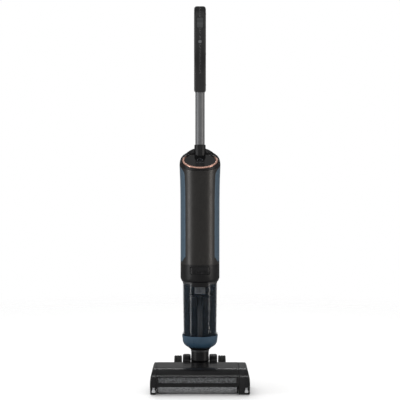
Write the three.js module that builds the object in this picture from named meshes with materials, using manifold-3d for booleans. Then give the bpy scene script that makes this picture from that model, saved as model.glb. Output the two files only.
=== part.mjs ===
// A cordless wet and dry floor scrubber: a roller head on wheels, a tilting neck, a round upright
// body with a smoked dirty-water tank in front, a clean-water tank behind, and a looped handle.
// Millimetres, +Z up, the roller at the front (-Y). The origin is on the floor under the middle.

import * as THREE from 'three';
import { mergeVertices } from 'three/addons/utils/BufferGeometryUtils.js';
import Module from 'manifold-3d';

// ---- driving dimensions -------------------------------------------------------------------

const gap = 0.4; // clearance between pieces that meet
const columnY = 7; // the upright column stands this far behind the middle of the footprint

// roller head
const headHalf = 139;
const capLeftInner = -123.2;
const capRightInner = 110.8;
const chamberLeft = -122.6;
const chamberRight = 107.6;
const roller = { y: -94, z: 34, nap: 33.4, core: 20, bore: 16, left: -119, right: 104 };
const cover = { inner: 35.6, outer: 38, topAngle: 70, windowTop: 29, windowBottom: 1, barBottom: -16 };
const deckZ = 73;
const rearWallY = 2;
const basePlate = { bottom: 4, top: 9, front: -57, tailBack: 88 };
const mouth = { half: 70, front: -50, back: -38 };
const duct = { half: 22, front: -52, bottom: 12, top: 38, wall: 2 };
const ductOutlet = { half: 18, bottom: 15, top: 33 };
const capLean = { inset: 9, steps: 6 }; // the outer side of an end cap leans in towards the top
const scraper = { left: -121, right: 106, front: -60.4, back: -57.6, bottom: 1.2, top: 11 };
const sprayBar = { left: -100, right: 90, front: -65, back: -59, bottom: 61, top: 67 };
const windowLeft = -116;
const windowRight = 101;
const motor = { y: -28, z: 44, radius: 16, left: 40, right: 104, shaft: 3 };
const pulley = { roller: 12, motor: 9, left: 113, right: 123, plug: 15.6, plugLeft: 92, plugRight: 103 };
const belt = { thickness: 1.6, edge: 1 };
const hinge = { y: 30, z: 58, pin: 6, barrel: 25, lug: 31 };
const lug = { inner: 27, outer: 50 };
const axle = { y: 80, z: 38, radius: 4, boss: 11, half: 77.5 };
const wheel = { inner: 54, outer: 76, radius: 38, hub: 32.6 };
const cornerRoller = { x: 129.2, y: -121.6, radius: 5.4, bottom: 7, top: 22, slotHalf: 3.2 };

// neck and base
const neck = { y: 12, radius: 25.5, bottom: 75.5, top: 100 };
const shelf = { bottom: 108.4, top: 114.4, radius: 34, bottomRadius: 27 };
const rearDepth = 1.3; // behind its middle the body is this much deeper than a circle
const flatBackY = 22.2; // the removable tank is cut off flat here, against the spine
const spine = { bottom: 114.8, top: 350, flat: 28, round: 22, ductY: 43, ductRadius: 13, ductBottom: 142 };

// dirty-water tank
const tank = { top: 300, wall: 2, bottomRadius: 47.6, topRadius: 49.7 };
const standpipe = { y: 6, outer: 7, inner: 5.6, bottom: 121.4, top: 262 };

// upright body
const band = { bottom: 306, chamferTop: 316, top: 356, radius: 56.2 };
const recess = { half: 28.6, bottom: 328.8, top: 351.4 };
const shell = { bottom: 356.4, wall: 2.6 };
const sideRadii = [[56.4, 540], [57.4, 600]]; // the shell widens slightly towards the dome
const dome = { z: 640, radius: 59, height: 58 };
const face = { frontY: -55, frontZ: 632, slope: Math.tan(THREE.MathUtils.degToRad(27.5)) };
const seam = { frontY: -57, frontZ: 624, slope: 0.32 };
const ring = { y: -14, outerX: 50.5, outerY: 42.5, width: 5, proud: 2.2, sink: 3 };
const crown = { behindRing: 2, run: 8, rise: 26, wall: 2.6 }; // the step up behind the slanted face
const panel = { front: -37, back: 34, bottom: 364, archZ: 610, archRise: 27, corner: 14 };
const cleanTank = { front: 40.4, bottom: 385, top: 600, wall: 2.5 };
const pocketWall = 2.4;
const filler = { z: 584, radius: 10, flange: 12.6, mouthY: 74.8, depth: 9 };

// tube and handle
const tube = { y: 30, radius: 13.5, bore: 12.2, bottom: 640, top: 905 };
const socket = { radius: 16.5, bore: 13.9, bottom: 632, top: 700 };
const handle = { half: 17, bottom: 852, top: 1100, front: -15, back: 70 };
const modeButton = { half: 9, bottom: 1033, top: 1063, depth: 5 };
const powerButton = { radius: 4.6, z: 994, depth: 5 };
const buttonProud = 0.4;

// inside the body
const suctionMotor = { y: -12, bottom: 384, radius: 36, height: 56 };
const impeller = { z: 368, radius: 32, blades: 9, bladeHeight: 9 };
const battery = { y: -8, bottom: 452, height: 145, halfX: 22, halfY: 17, corner: 8 };
const board = { half: 34, front: 26, thickness: 1.6, bottom: 452, top: 590 };
const pump = { y: 54, z: 370, radius: 9, half: 20 };
const spring = { radius: 4.2, wire: 0.6, turns: 4, length: 9.2, y: -50.3, z: 340 };

// ---- colours ------------------------------------------------------------------------------

const blackPlastic = [0x1d1d1e, 0.45, 0];
const charcoal = [0x343332, 0.4, 0.2];
const slateBlue = [0x43586a, 0.4, 0.1];
const deepBlue = [0x2b4154, 0.35, 0.1];
const smoked = [0x2a2d31, 0.15, 0];
const darkGrey = [0x3a3b3c, 0.5, 0];
const paleGrey = [0xb5b7b9, 0.5, 0];
const napGrey = [0x58595a, 0.95, 0];
const rubberBlack = [0x161616, 0.85, 0];
const copper = [0xb98571, 0.25, 1];
const steel = [0x8c8e90, 0.3, 1];
const satinAluminium = [0x6d6e70, 0.35, 1];

// ---- solids -------------------------------------------------------------------------------

const wasm = await Module();
wasm.setup();

function signedVolume(position, index) {
  const a = new THREE.Vector3();
  const b = new THREE.Vector3();
  const c = new THREE.Vector3();
  let six = 0;
  for (let i = 0; i < index.length; i += 3) {
    a.fromBufferAttribute(position, index[i]);
    b.fromBufferAttribute(position, index[i + 1]);
    c.fromBufferAttribute(position, index[i + 2]);
    six += a.dot(b.cross(c));
  }
  return six / 6;
}

// Shares the vertices, drops collapsed triangles and turns the faces outwards.
function weld(geometry) {
  const bare = geometry.clone();
  bare.deleteAttribute('normal');
  bare.deleteAttribute('uv');
  const merged = mergeVertices(bare, 1e-3);
  const index = [];
  for (let i = 0; i < merged.index.count; i += 3) {
    const corners = [0, 1, 2].map((k) => merged.index.getX(i + k));
    if (new Set(corners).size === 3) {
      index.push(...corners);
    }
  }
  if (signedVolume(merged.attributes.position, index) < 0) {
    index.reverse();
  }
  merged.setIndex(index);
  return merged;
}

function solid(geometry) {
  const welded = weld(geometry);
  return new wasm.Manifold(new wasm.Mesh({
    numProp: 3,
    vertProperties: new Float32Array(welded.attributes.position.array),
    triVerts: new Uint32Array(welded.index.array),
  }));
}

function fromSolid(manifold) {
  const mesh = manifold.getMesh();
  const geometry = new THREE.BufferGeometry();
  geometry.setAttribute('position', new THREE.BufferAttribute(new Float32Array(mesh.vertProperties), 3));
  geometry.setIndex(new THREE.BufferAttribute(new Uint32Array(mesh.triVerts), 1));
  return geometry;
}

function outline(points) {
  return new THREE.Shape(points.map(([x, y]) => new THREE.Vector2(x, y)));
}

function extrude(shape, depth, curveSegments = 12) {
  return new THREE.ExtrudeGeometry(shape, { depth, bevelEnabled: false, curveSegments });
}

// A prism along X; the outline is drawn in (y, z).
function prismX(shape, x0, x1, curveSegments) {
  const basis = new THREE.Matrix4().makeBasis(
    new THREE.Vector3(0, 1, 0),
    new THREE.Vector3(0, 0, 1),
    new THREE.Vector3(1, 0, 0),
  );
  return extrude(shape, x1 - x0, curveSegments).applyMatrix4(basis).translate(x0, 0, 0);
}

// A prism along Z; the outline is drawn in (x, y).
function prismZ(shape, z0, z1, curveSegments) {
  return extrude(shape, z1 - z0, curveSegments).translate(0, 0, z0);
}

function box(x0, x1, y0, y1, z0, z1) {
  const geometry = new THREE.BoxGeometry(x1 - x0, y1 - y0, z1 - z0);
  return geometry.translate((x0 + x1) / 2, (y0 + y1) / 2, (z0 + z1) / 2);
}

function cylinderX(radius, x0, x1, y, z, segments = 24) {
  const geometry = new THREE.CylinderGeometry(radius, radius, x1 - x0, segments);
  return geometry.rotateZ(Math.PI / 2).translate((x0 + x1) / 2, y, z);
}

function cylinderZ(radius, z0, z1, x = 0, y = 0, segments = 24) {
  const geometry = new THREE.CylinderGeometry(radius, radius, z1 - z0, segments);
  return geometry.rotateX(Math.PI / 2).translate(x, y, (z0 + z1) / 2);
}

// Turned about the Z axis; the profile is a list of (radius, z).
function turned(profile, segments = 40) {
  const points = profile.map(([r, z]) => new THREE.Vector2(r, z));
  return new THREE.LatheGeometry(points, segments).rotateX(Math.PI / 2);
}

// Turned about the X axis, as a wheel is; the profile is a list of (radius, x).
function turnedX(profile, segments = 28) {
  const points = profile.map(([r, x]) => new THREE.Vector2(r, -x));
  return new THREE.LatheGeometry(points, segments).rotateZ(Math.PI / 2);
}

// Stretches the half behind the middle, which makes a round section egg-shaped.
function deepen(geometry) {
  const position = geometry.attributes.position;
  for (let i = 0; i < position.count; i += 1) {
    const y = position.getY(i);
    position.setY(i, y > 0 ? y * rearDepth : y);
  }
  return geometry;
}

function arc(cx, cy, radius, from, to, steps) {
  const points = [];
  for (let i = 0; i <= steps; i += 1) {
    const angle = THREE.MathUtils.degToRad(from + ((to - from) * i) / steps);
    points.push([cx + radius * Math.cos(angle), cy + radius * Math.sin(angle)]);
  }
  return points;
}

// An arc about the roller, with angles counted up from straight ahead (-Y).
function rollerArc(radius, from, to, steps) {
  return arc(roller.y, roller.z, radius, 180 - from, 180 - to, steps);
}

function ellipse(centreY, radiusX, radiusY) {
  const shape = new THREE.Shape();
  shape.absellipse(0, centreY, radiusX, radiusY, 0, Math.PI * 2, false, 0);
  return shape;
}

function cut(geometry, ...tools) {
  return fromSolid(tools.reduce((left, tool) => left.subtract(solid(tool)), solid(geometry)));
}

function join(geometry, ...others) {
  return fromSolid(others.reduce((sum, other) => sum.add(solid(other)), solid(geometry)));
}

function keep(geometry, ...regions) {
  return fromSolid(regions.reduce((left, region) => left.intersect(solid(region)), solid(geometry)));
}

// ---- the scene graph ----------------------------------------------------------------------

const scrubber = new THREE.Group();
const upright = new THREE.Group();
upright.position.set(0, columnY, 0);
scrubber.add(upright);

function piece(name, geometry, [color, roughness, metalness], parent = upright) {
  const material = new THREE.MeshStandardMaterial({ color, roughness, metalness });
  const mesh = new THREE.Mesh(weld(geometry), material);
  mesh.name = name;
  parent.add(mesh);
  return mesh;
}

// ---- roller head --------------------------------------------------------------------------

function buildHeadShells() {
  const housing = outline([
    ...rollerArc(cover.outer, cover.topAngle + 0.6, 90, 3),
    [-30, deckZ],
    [-5, deckZ - 2],
    [rearWallY, deckZ - 9],
    [rearWallY, 10],
    [rearWallY - cover.outer + cover.inner, 10],
    [rearWallY - cover.outer + cover.inner, deckZ - 10],
    [-7, deckZ - 4.6],
    [-30, deckZ - 2.6],
    ...rollerArc(cover.outer, 112, 215, 12),
    ...rollerArc(cover.inner, 215, cover.topAngle + 0.6, 16),
  ]);
  const ductHole = box(-ductOutlet.half, ductOutlet.half, -4, 6, ductOutlet.bottom, ductOutlet.top);
  piece('head_housing', cut(prismX(housing, chamberLeft, chamberRight), ductHole), blackPlastic);

  const { bottom, top, front, tailBack } = basePlate;
  const plate = box(chamberLeft, chamberRight, front, rearWallY - gap, bottom, top);
  const intake = box(-mouth.half, mouth.half, mouth.front, mouth.back, 0, top + 3);
  const tails = [-1, 1].map((side) => {
    const inner = side < 0 ? -lug.outer : lug.inner;
    return box(inner, inner + lug.outer - lug.inner, 0, tailBack, bottom, top);
  });
  piece('base_plate', cut(join(plate, ...tails), intake), blackPlastic);

  const bar = ({ left, right, front: y0, back: y1, bottom: z0, top: z1 }) => box(left, right, y0, y1, z0, z1);
  piece('scraper_blade', bar(scraper), rubberBlack);
  piece('spray_bar', bar(sprayBar), darkGrey);

  const inside = duct.half - duct.wall;
  const channel = cut(
    box(-duct.half, duct.half, duct.front, -1.2, duct.bottom, duct.top),
    box(-inside, inside, duct.front - 8, 5, duct.bottom + duct.wall, duct.top - duct.wall),
    box(-inside, inside, mouth.front, mouth.back, duct.bottom - 4, duct.bottom + 8),
  );
  piece('suction_duct', channel, darkGrey);
}

// Outline of an end cap seen from the side: round over the roller, flat foot, lower tail.
function endCapOutline(inset) {
  const radius = cover.outer - inset;
  return outline([
    ...rollerArc(radius, -28, 90, 14),
    [-30, deckZ - inset],
    [-5, deckZ - 2 - inset],
    [rearWallY - inset, deckZ - 9 - inset],
    [rearWallY - inset, 8 + inset],
    [-55, 4 + inset],
    [-62, inset],
    [-118 + inset, inset],
  ]);
}

// A round pocket for the corner roller, with an upright slot that shows it from the front.
function cornerPocket(side) {
  const { x, y, radius, bottom, top, slotHalf } = cornerRoller;
  const room = cylinderZ(radius + 0.6, bottom - gap, top + gap, side * x, y, 20);
  return join(room, box(side * x - slotHalf, side * x + slotHalf, -140, y, bottom - gap, top + gap));
}

// What is trimmed off the outer side of an end cap.
function leanTrim(side) {
  const { inset, steps } = capLean;
  const top = deckZ + 1;
  const edge = [];
  for (let i = 0; i <= steps; i += 1) {
    const share = i / steps;
    edge.push([side * (headHalf - inset * share ** 2), roller.z + (top - roller.z) * share]);
  }
  const clear = side * (headHalf + 4);
  const trim = outline([...edge, [clear, top], [clear, roller.z]]);
  return extrude(trim, 180).rotateX(Math.PI / 2).translate(0, 40, 0);
}

function buildEndCaps() {
  const left = prismX(endCapOutline(0), -headHalf, capLeftInner);
  const bearing = cylinderX(5.6, -131, -120, roller.y, roller.z, 20);
  piece('end_cap_left', cut(left, bearing, cornerPocket(-1), leanTrim(-1)), blackPlastic);

  const right = prismX(endCapOutline(0), capRightInner, headHalf);
  const beltRoom = box(90, 140, -112, 10, 8, 90);
  const cavity = keep(prismX(endCapOutline(3), capRightInner - 1, pulley.right + 3), beltRoom);
  piece('end_cap_right', cut(right, cavity, cornerPocket(1), leanTrim(1)), blackPlastic);

  const drivePlate = prismX(endCapOutline(0), chamberRight + gap, capRightInner - gap);
  const shaftHoles = [
    cylinderX(7, 100, 120, roller.y, roller.z, 20),
    cylinderX(4, 100, 120, motor.y, motor.z, 20),
  ];
  piece('drive_plate', cut(drivePlate, ...shaftHoles), blackPlastic);

  for (const [name, side] of [['left', -1], ['right', 1]]) {
    const { x, y, radius, bottom, top } = cornerRoller;
    const wheelBody = cylinderZ(radius, 0, top - bottom, 0, 0, 20);
    piece(`corner_roller_${name}`, wheelBody, paleGrey).position.set(side * x, y, bottom);
  }
}

function buildRollerCover() {
  const { inner, outer, topAngle, barBottom, windowTop, windowBottom } = cover;
  const profile = outline([
    ...rollerArc(outer, barBottom, topAngle, 18),
    ...rollerArc(inner, topAngle, barBottom, 18),
  ]);
  const opening = outline([
    ...rollerArc(outer + 3, windowBottom, windowTop, 6),
    ...rollerArc(inner - 3, windowTop, windowBottom, 6),
  ]);
  const frame = cut(prismX(profile, chamberLeft, chamberRight), prismX(opening, windowLeft, windowRight));
  piece('roller_cover', frame, blackPlastic);

  const lens = outline([
    ...rollerArc(outer - 0.3, windowBottom + 0.7, windowTop - 0.7, 6),
    ...rollerArc(inner + 0.2, windowTop - 0.7, windowBottom + 0.7, 6),
  ]);
  piece('cover_window', prismX(lens, windowLeft + gap, windowRight - gap), smoked);
}

function buildRoller() {
  const axis = new THREE.Group();
  axis.position.set(0, roller.y, roller.z);
  upright.add(axis);

  const { nap, core, bore, left: coreLeft, right: coreRight } = roller;
  const floor = coreLeft + 4;
  const tube = turnedX([[0, -130], [5, -130], [5, coreLeft], [core, coreLeft], [core, coreRight],
    [bore, coreRight], [bore, floor], [0, floor]]);
  piece('roller_core', tube, darkGrey, axis);

  const inner = core + gap;
  const x0 = coreLeft + 1;
  const x1 = coreRight - 0.5;
  const sleeve = turnedX([[inner, x0], [nap, x0], [nap, x1], [inner, x1], [inner, x0]], 32);
  piece('roller_nap', sleeve, napGrey, axis);

  const { left, right, plug, plugLeft, plugRight } = pulley;
  const drive = turnedX([[0, plugLeft], [plug, plugLeft], [plug, plugRight], [6, plugRight], [6, left],
    [pulley.roller, left], [pulley.roller, right], [0, right]]);
  piece('roller_pulley', drive, darkGrey, axis);
}

// A belt round two pulleys, drawn in (y, z).
function beltOutline(extra) {
  const dy = motor.y - roller.y;
  const dz = motor.z - roller.z;
  const along = THREE.MathUtils.radToDeg(Math.atan2(dz, dy));
  const lean = THREE.MathUtils.radToDeg(Math.acos((pulley.roller - pulley.motor) / Math.hypot(dy, dz)));
  return outline([
    ...arc(roller.y, roller.z, pulley.roller + extra, along + lean, along + 360 - lean, 14),
    ...arc(motor.y, motor.z, pulley.motor + extra, along - lean, along + lean, 8),
  ]);
}

function buildDrive() {
  const motorCase = cut(
    cylinderX(motor.radius, motor.left, motor.right, motor.y, motor.z, 32),
    cylinderX(motor.shaft + 0.5, 86, motor.right + 6, motor.y, motor.z, 16),
  );
  piece('brush_motor', motorCase, steel);
  const { left, right } = pulley;
  const small = turnedX([[0, 88], [motor.shaft, 88], [motor.shaft, left], [pulley.motor, left],
    [pulley.motor, right], [0, right]], 28);
  piece('motor_pulley', small, steel).position.set(0, motor.y, motor.z);
  const outer = prismX(beltOutline(gap + belt.thickness), left + belt.edge, right - belt.edge);
  piece('drive_belt', cut(outer, prismX(beltOutline(gap), left - 4, right + 4)), rubberBlack);
}

function buildWheelsAndHinge() {
  const side = outline([
    [rearWallY + gap, 9 + gap],
    [84, 9 + gap],
    [axle.y + axle.boss, 26],
    ...arc(axle.y, axle.z, axle.boss, 0, 70, 4),
    ...arc(hinge.y, hinge.z, hinge.lug, 40, 154, 12),
  ]);
  const holes = [
    cylinderX(hinge.pin + gap, -60, 60, hinge.y, hinge.z, 24),
    cylinderX(axle.radius + gap, -60, 60, axle.y, axle.z, 20),
  ];
  piece('hinge_lug_left', cut(prismX(side, -lug.outer, -lug.inner), ...holes), blackPlastic);
  piece('hinge_lug_right', cut(prismX(side, lug.inner, lug.outer), ...holes), blackPlastic);
  piece('hinge_pin', cylinderX(hinge.pin, -lug.outer, lug.outer, hinge.y, hinge.z, 24), steel);
  piece('rear_axle', cylinderX(axle.radius, -axle.half, axle.half, axle.y, axle.z, 20), steel);

  const { inner, outer, radius, hub } = wheel;
  const bore = axle.radius + gap;
  const mid = (inner + outer) / 2;
  const hubProfile = [[bore, inner + 1], [hub, inner + 1], [hub, outer - 1], [26, outer - 1], [24, mid + 3],
    [12, mid + 3], [11, outer - 1], [bore, outer - 1], [bore, inner + 1]];
  const tyreProfile = [[hub + gap, inner], [radius - 2, inner], [radius, inner + 2], [radius, outer - 2],
    [radius - 2, outer], [hub + gap, outer], [hub + gap, inner]];
  for (const [name, turn] of [['right', 0], ['left', Math.PI]]) {
    const station = new THREE.Group();
    station.position.set(0, axle.y, axle.z);
    station.rotation.z = turn;
    upright.add(station);
    piece(`rear_wheel_${name}`, turnedX(hubProfile), darkGrey, station);
    piece(`rear_tyre_${name}`, turnedX(tyreProfile, 32), rubberBlack, station);
  }
}

// ---- neck, base and spine -----------------------------------------------------------------

function buildNeck() {
  const barrel = cylinderX(hinge.barrel, -26, 26, hinge.y, hinge.z, 28);
  const post = cylinderZ(neck.radius, neck.bottom, neck.top, 0, neck.y, 28);
  const pinBore = cylinderX(hinge.pin + gap, -30, 30, hinge.y, hinge.z, 24);
  const airway = cylinderZ(14, 86, neck.top + 1, 0, neck.y, 24);
  piece('neck_yoke', cut(join(barrel, post), pinBore, airway), blackPlastic);

  const top = shelf.bottom - gap;
  const flange = neck.top + gap;
  const collar = turned([[10, 88], [13.6, 88], [13.6, flange], [26.5, flange], [26.5, top], [10, top],
    [10, 88]], 28);
  piece('swivel_collar', collar, darkGrey).position.set(0, neck.y, 0);
}

function behind(y) {
  return box(-80, 80, y, 80, 0, 760);
}

function inFront(y) {
  return box(-80, 80, -80, y, 0, 760);
}

function buildBaseAndSpine() {
  const disc = deepen(turned([[0, shelf.bottom], [shelf.bottomRadius, shelf.bottom], [shelf.radius, shelf.top],
    [0, shelf.top]]));
  const airway = cylinderZ(10, shelf.bottom - 2, shelf.top + 2, 0, neck.y, 24);
  piece('base_shelf', cut(disc, airway), blackPlastic);

  const { bottom, top, flat, round, ductY, ductRadius, ductBottom } = spine;
  const side = arc(flat, bottom + round, round, -90, 0, 5);
  const column = deepen(turned([[0, bottom], ...side, [flat + round, top], [0, top]]));
  const airDuct = cylinderZ(ductRadius, ductBottom, top + 10, 0, ductY);
  piece('rear_spine', cut(keep(column, behind(flatBackY + 0.6)), airDuct), blackPlastic);
}

// ---- dirty-water tank ---------------------------------------------------------------------

// A round vessel cut off flat at the back, hollowed by the same shape made smaller.
function flatBackedVessel(outer, inner, wall) {
  const body = keep(deepen(turned(outer)), inFront(flatBackY));
  const hollow = keep(deepen(turned(inner)), inFront(flatBackY - wall));
  return cut(body, hollow);
}

function buildDirtyTank() {
  const cupSide = arc(28, 137, 22.2, -90, 0, 5);
  const cupOutside = deepen(turned([[0, 114.8], ...cupSide, [51.8, 150.5], [0, 150.5]]));
  const cupInside = deepen(turned([[0, 117], ...arc(28, 137, 20, -90, 0, 5), [49.6, 151.5], [0, 151.5]]));
  piece('tank_base_cup', cut(keep(cupOutside, inFront(flatBackY)), cupInside), deepBlue);

  const { wall, top, bottomRadius, topRadius } = tank;
  const jar = flatBackedVessel(
    [[0, 119], [24, 119], ...arc(28, 137.5, 18.2, -75, 0, 4), [47, 151], [50.4, 151], [50.4, 157],
      [bottomRadius, 161], [topRadius, top], [0, top]],
    [[0, 121], [24, 121], ...arc(28, 137.5, 16.2, -75, 0, 4), [bottomRadius - wall, 161],
      [topRadius - wall, top + 1], [0, top + 1]],
    wall,
  );
  piece('dirty_tank', jar, smoked);

  const lidTop = band.bottom - gap;
  const plug = flatBackY - wall - gap;
  const lid = join(
    keep(deepen(cylinderZ(topRadius, top + gap, lidTop, 0, 0, 40)), inFront(flatBackY)),
    keep(deepen(cylinderZ(topRadius - wall - gap, 296, top + 1, 0, 0, 40)), inFront(plug)),
  );
  piece('tank_lid', lid, darkGrey);
  piece('tank_filter', cylinderZ(15.5, 0, 296 - gap - 272, 0, 0, 28), paleGrey).position.set(0, -18, 272);

  const { outer, inner, bottom, top: pipeTop, y } = standpipe;
  const pipe = turned([[inner, bottom], [outer, bottom], [outer, pipeTop], [inner, pipeTop],
    [inner, bottom]], 24);
  piece('standpipe', pipe, darkGrey).position.set(0, y, 0);

  const lobe = 33;
  const floatBlock = keep(box(-lobe, lobe, -24, 19.4, 0, 30), cylinderZ(39, -1, 31, 0, 0, 32));
  const slot = join(box(-8.6, 8.6, -30, y, -2, 32), cylinderZ(outer + 1.6, -2, 32, 0, y, 24));
  piece('float', cut(floatBlock, slot), blackPlastic).position.set(0, 0, 232);

  const tongue = keep(
    turned([[50.2, 293], [55.2, 293], [55.6, lidTop], [50.2, lidTop], [50.2, 293]], 64),
    box(-23, 23, -60, 0, 280, 320),
  );
  piece('latch_tongue', tongue, blackPlastic);
}

// ---- upright body -------------------------------------------------------------------------

function buildBand() {
  const { bottom, chamferTop, top, radius } = band;
  const inner = radius - 3;
  const sleeve = deepen(turned([[50.5, bottom], [52.2, bottom], [radius, chamferTop], [radius, top],
    [inner, top], [inner, chamferTop + 1], [50.5, bottom + 5], [50.5, bottom]]));
  const opening = box(-recess.half, recess.half, -60, -40, recess.bottom, recess.top);
  const web = box(-37.5, 37.5, -40, -38, 325, 354);
  piece('lower_band', join(cut(sleeve, opening), web), blackPlastic);

  const pad = keep(
    turned([[51.4, recess.bottom], [54, recess.bottom], [54, recess.top], [51.4, recess.top],
      [51.4, recess.bottom]]),
    box(-recess.half + gap, recess.half - gap, -60, -30, recess.bottom + gap, recess.top - gap),
  );
  piece('tank_release_button', pad, darkGrey);

  const { radius: coilRadius, turns, length, wire: wireRadius } = spring;
  const steps = 10 * turns;
  const points = [];
  for (let i = 0; i <= steps; i += 1) {
    const angle = (Math.PI * 2 * turns * i) / steps;
    const along = (length * i) / steps;
    points.push(new THREE.Vector3(coilRadius * Math.cos(angle), along, coilRadius * Math.sin(angle)));
  }
  const wire = new THREE.Shape();
  wire.absarc(0, 0, wireRadius, 0, Math.PI * 2, false);
  const path = new THREE.CatmullRomCurve3(points);
  const coil = new THREE.ExtrudeGeometry(wire, { steps, extrudePath: path, curveSegments: 3 });
  piece('release_spring', coil, steel).position.set(0, spring.y, spring.z);
}

// The body's outside as a solid of revolution, inset by a wall for its inside.
function bodySolid(inset, bottom) {
  const crown = [];
  const steps = 7;
  for (let i = 1; i <= steps; i += 1) {
    const angle = (Math.PI / 2) * (i / steps);
    const r = (dome.radius - inset) * Math.cos(angle);
    crown.push([i === steps ? 0 : r, dome.z + (dome.height - inset) * Math.sin(angle)]);
  }
  const profile = [[0, bottom], [band.radius - inset, bottom]];
  for (const [r, z] of [...sideRadii, [dome.radius, dome.z]]) {
    profile.push([r - inset, z]);
  }
  return deepen(turned([...profile, ...crown], 40));
}

// Everything above a plane that rises towards the back.
function abovePlane(plane, offset) {
  const height = (y) => plane.frontZ + offset + (y - plane.frontY) * plane.slope;
  return prismX(outline([[-90, height(-90)], [90, height(90)], [90, 800], [-90, 800]]), -90, 90);
}

// What is cut away in front of the dome: a slanted face, and a steep step up to the crown behind it.
function faceRegion(drop, reach) {
  const height = (y) => face.frontZ - drop + (y - face.frontY) * face.slope;
  const back = ring.y + ring.outerY + crown.behindRing + reach;
  const top = back + crown.run;
  const section = outline([[-90, height(-90)], [back, height(back)], [top, height(back) + crown.rise],
    [top, 800], [-90, 800]]);
  return prismX(section, -90, 90);
}

function panelOutline(grow) {
  const { front, back, bottom, archZ, archRise, corner } = panel;
  const middle = (front + back) / 2;
  const half = (back - front) / 2 + grow;
  const top = [];
  for (let i = 0; i <= 14; i += 1) {
    const angle = (Math.PI * i) / 14;
    top.push([middle + half * Math.cos(angle), archZ + (archRise + grow) * Math.sin(angle)]);
  }
  return outline([
    ...top,
    [middle - half, bottom + corner],
    [middle - half + corner, bottom - grow],
    [middle + half - corner, bottom - grow],
    [middle + half, bottom + corner],
  ]);
}

// The space in the back of the body that the clean-water tank fills, grown by a wall.
function pocketRegion(grow) {
  const { front, bottom, top } = cleanTank;
  const room = box(-80, 80, front - gap - grow, 90, bottom - gap - grow, top + gap + grow);
  return grow > 0 ? keep(bodySolid(0, shell.bottom), room) : room;
}

function buildBodyShells() {
  const whole = cut(bodySolid(0, shell.bottom), bodySolid(shell.wall, shell.bottom - 5));
  const upper = abovePlane(seam, 0);
  const skirt = cut(whole, upper);
  const grown = prismX(panelOutline(gap), -90, 90);
  piece('front_cover', cut(keep(skirt, inFront(-gap / 2)), grown), charcoal);
  const back = cut(keep(skirt, behind(gap / 2)), grown, pocketRegion(0));
  piece('rear_shell', join(back, cut(pocketRegion(pocketWall), pocketRegion(0))), blackPlastic);
  piece('side_panel_left', keep(skirt, prismX(panelOutline(0), -90, -20)), slateBlue);
  piece('side_panel_right', keep(skirt, prismX(panelOutline(0), 20, 90)), slateBlue);

  const flange = cut(keep(bodySolid(0, shell.bottom), faceRegion(4, crown.wall)), faceRegion(0, 0));
  const ringHole = prismZ(ellipse(ring.y, ring.outerX + gap, ring.outerY + gap), 600, 700, 16);
  const tubeHole = cylinderZ(socket.radius + gap, 600, 720, 0, tube.y, 32);
  const cap = cut(keep(whole, abovePlane(seam, gap)), faceRegion(0, 0));
  piece('top_dome', cut(join(cap, flange), ringHole, tubeHole), blackPlastic);

  const ringX = ring.outerX - ring.width;
  const ringY = ring.outerY - ring.width;
  const hoop = cut(
    prismZ(ellipse(ring.y, ring.outerX, ring.outerY), 600, 700, 16),
    prismZ(ellipse(ring.y, ringX, ringY), 590, 710, 16),
    abovePlane(face, ring.proud),
    tubeHole,
  );
  piece('accent_ring', keep(hoop, abovePlane(face, -ring.sink)), copper);
  const glass = cut(
    prismZ(ellipse(ring.y, ringX - gap, ringY - gap), 600, 700, 16),
    abovePlane(face, 0),
    tubeHole,
  );
  piece('display_panel', keep(glass, abovePlane(face, -ring.sink)), smoked);
}

function buildBodyInsides() {
  const { bottom, radius, height } = suctionMotor;
  const top = bottom + height;
  const motorCase = cut(
    turned([[0, bottom], [radius - 2, bottom], [radius, bottom + 4], [radius, top - 16], [22, top],
      [0, top]], 28),
    cylinderZ(4.4, bottom - 4, bottom + 28, 0, 0, 20),
  );
  piece('suction_motor', motorCase, steel).position.set(0, suctionMotor.y, 0);

  const blade = box(6, impeller.radius - 1, -1, 1, 0, impeller.bladeHeight);
  const blades = [];
  for (let i = 0; i < impeller.blades; i += 1) {
    blades.push(blade.clone().rotateZ((Math.PI * 2 * i) / impeller.blades));
  }
  const disc = turned([[0, 0], [impeller.radius, 0], [impeller.radius, 2], [8, 2], [4, 10], [4, 40],
    [0, 40]], 24);
  piece('impeller', join(disc, ...blades), satinAluminium).position.set(0, suctionMotor.y, impeller.z);

  const { halfX, halfY, corner } = battery;
  const pack = new THREE.Shape();
  pack.absarc(halfX, halfY, corner, 0, Math.PI / 2, false);
  pack.absarc(-halfX, halfY, corner, Math.PI / 2, Math.PI, false);
  pack.absarc(-halfX, -halfY, corner, Math.PI, Math.PI * 1.5, false);
  pack.absarc(halfX, -halfY, corner, Math.PI * 1.5, Math.PI * 2, false);
  const wrapped = piece('battery_pack', prismZ(pack, 0, battery.height, 4), slateBlue);
  wrapped.position.set(0, battery.y, battery.bottom);
  const { half, front, thickness } = board;
  piece('circuit_board', box(-half, half, front, front + thickness, board.bottom, board.top), deepBlue);
  const pumpCase = cylinderX(pump.radius, -pump.half, pump.half, 0, 0);
  piece('water_pump', pumpCase, darkGrey).position.set(0, pump.y, pump.z);
}

// ---- clean-water tank ---------------------------------------------------------------------

function cleanTankBlock(inset) {
  const { front, bottom, top } = cleanTank;
  return keep(bodySolid(inset, shell.bottom), box(-80, 80, front + inset, 90, bottom + inset, top - inset));
}

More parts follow.
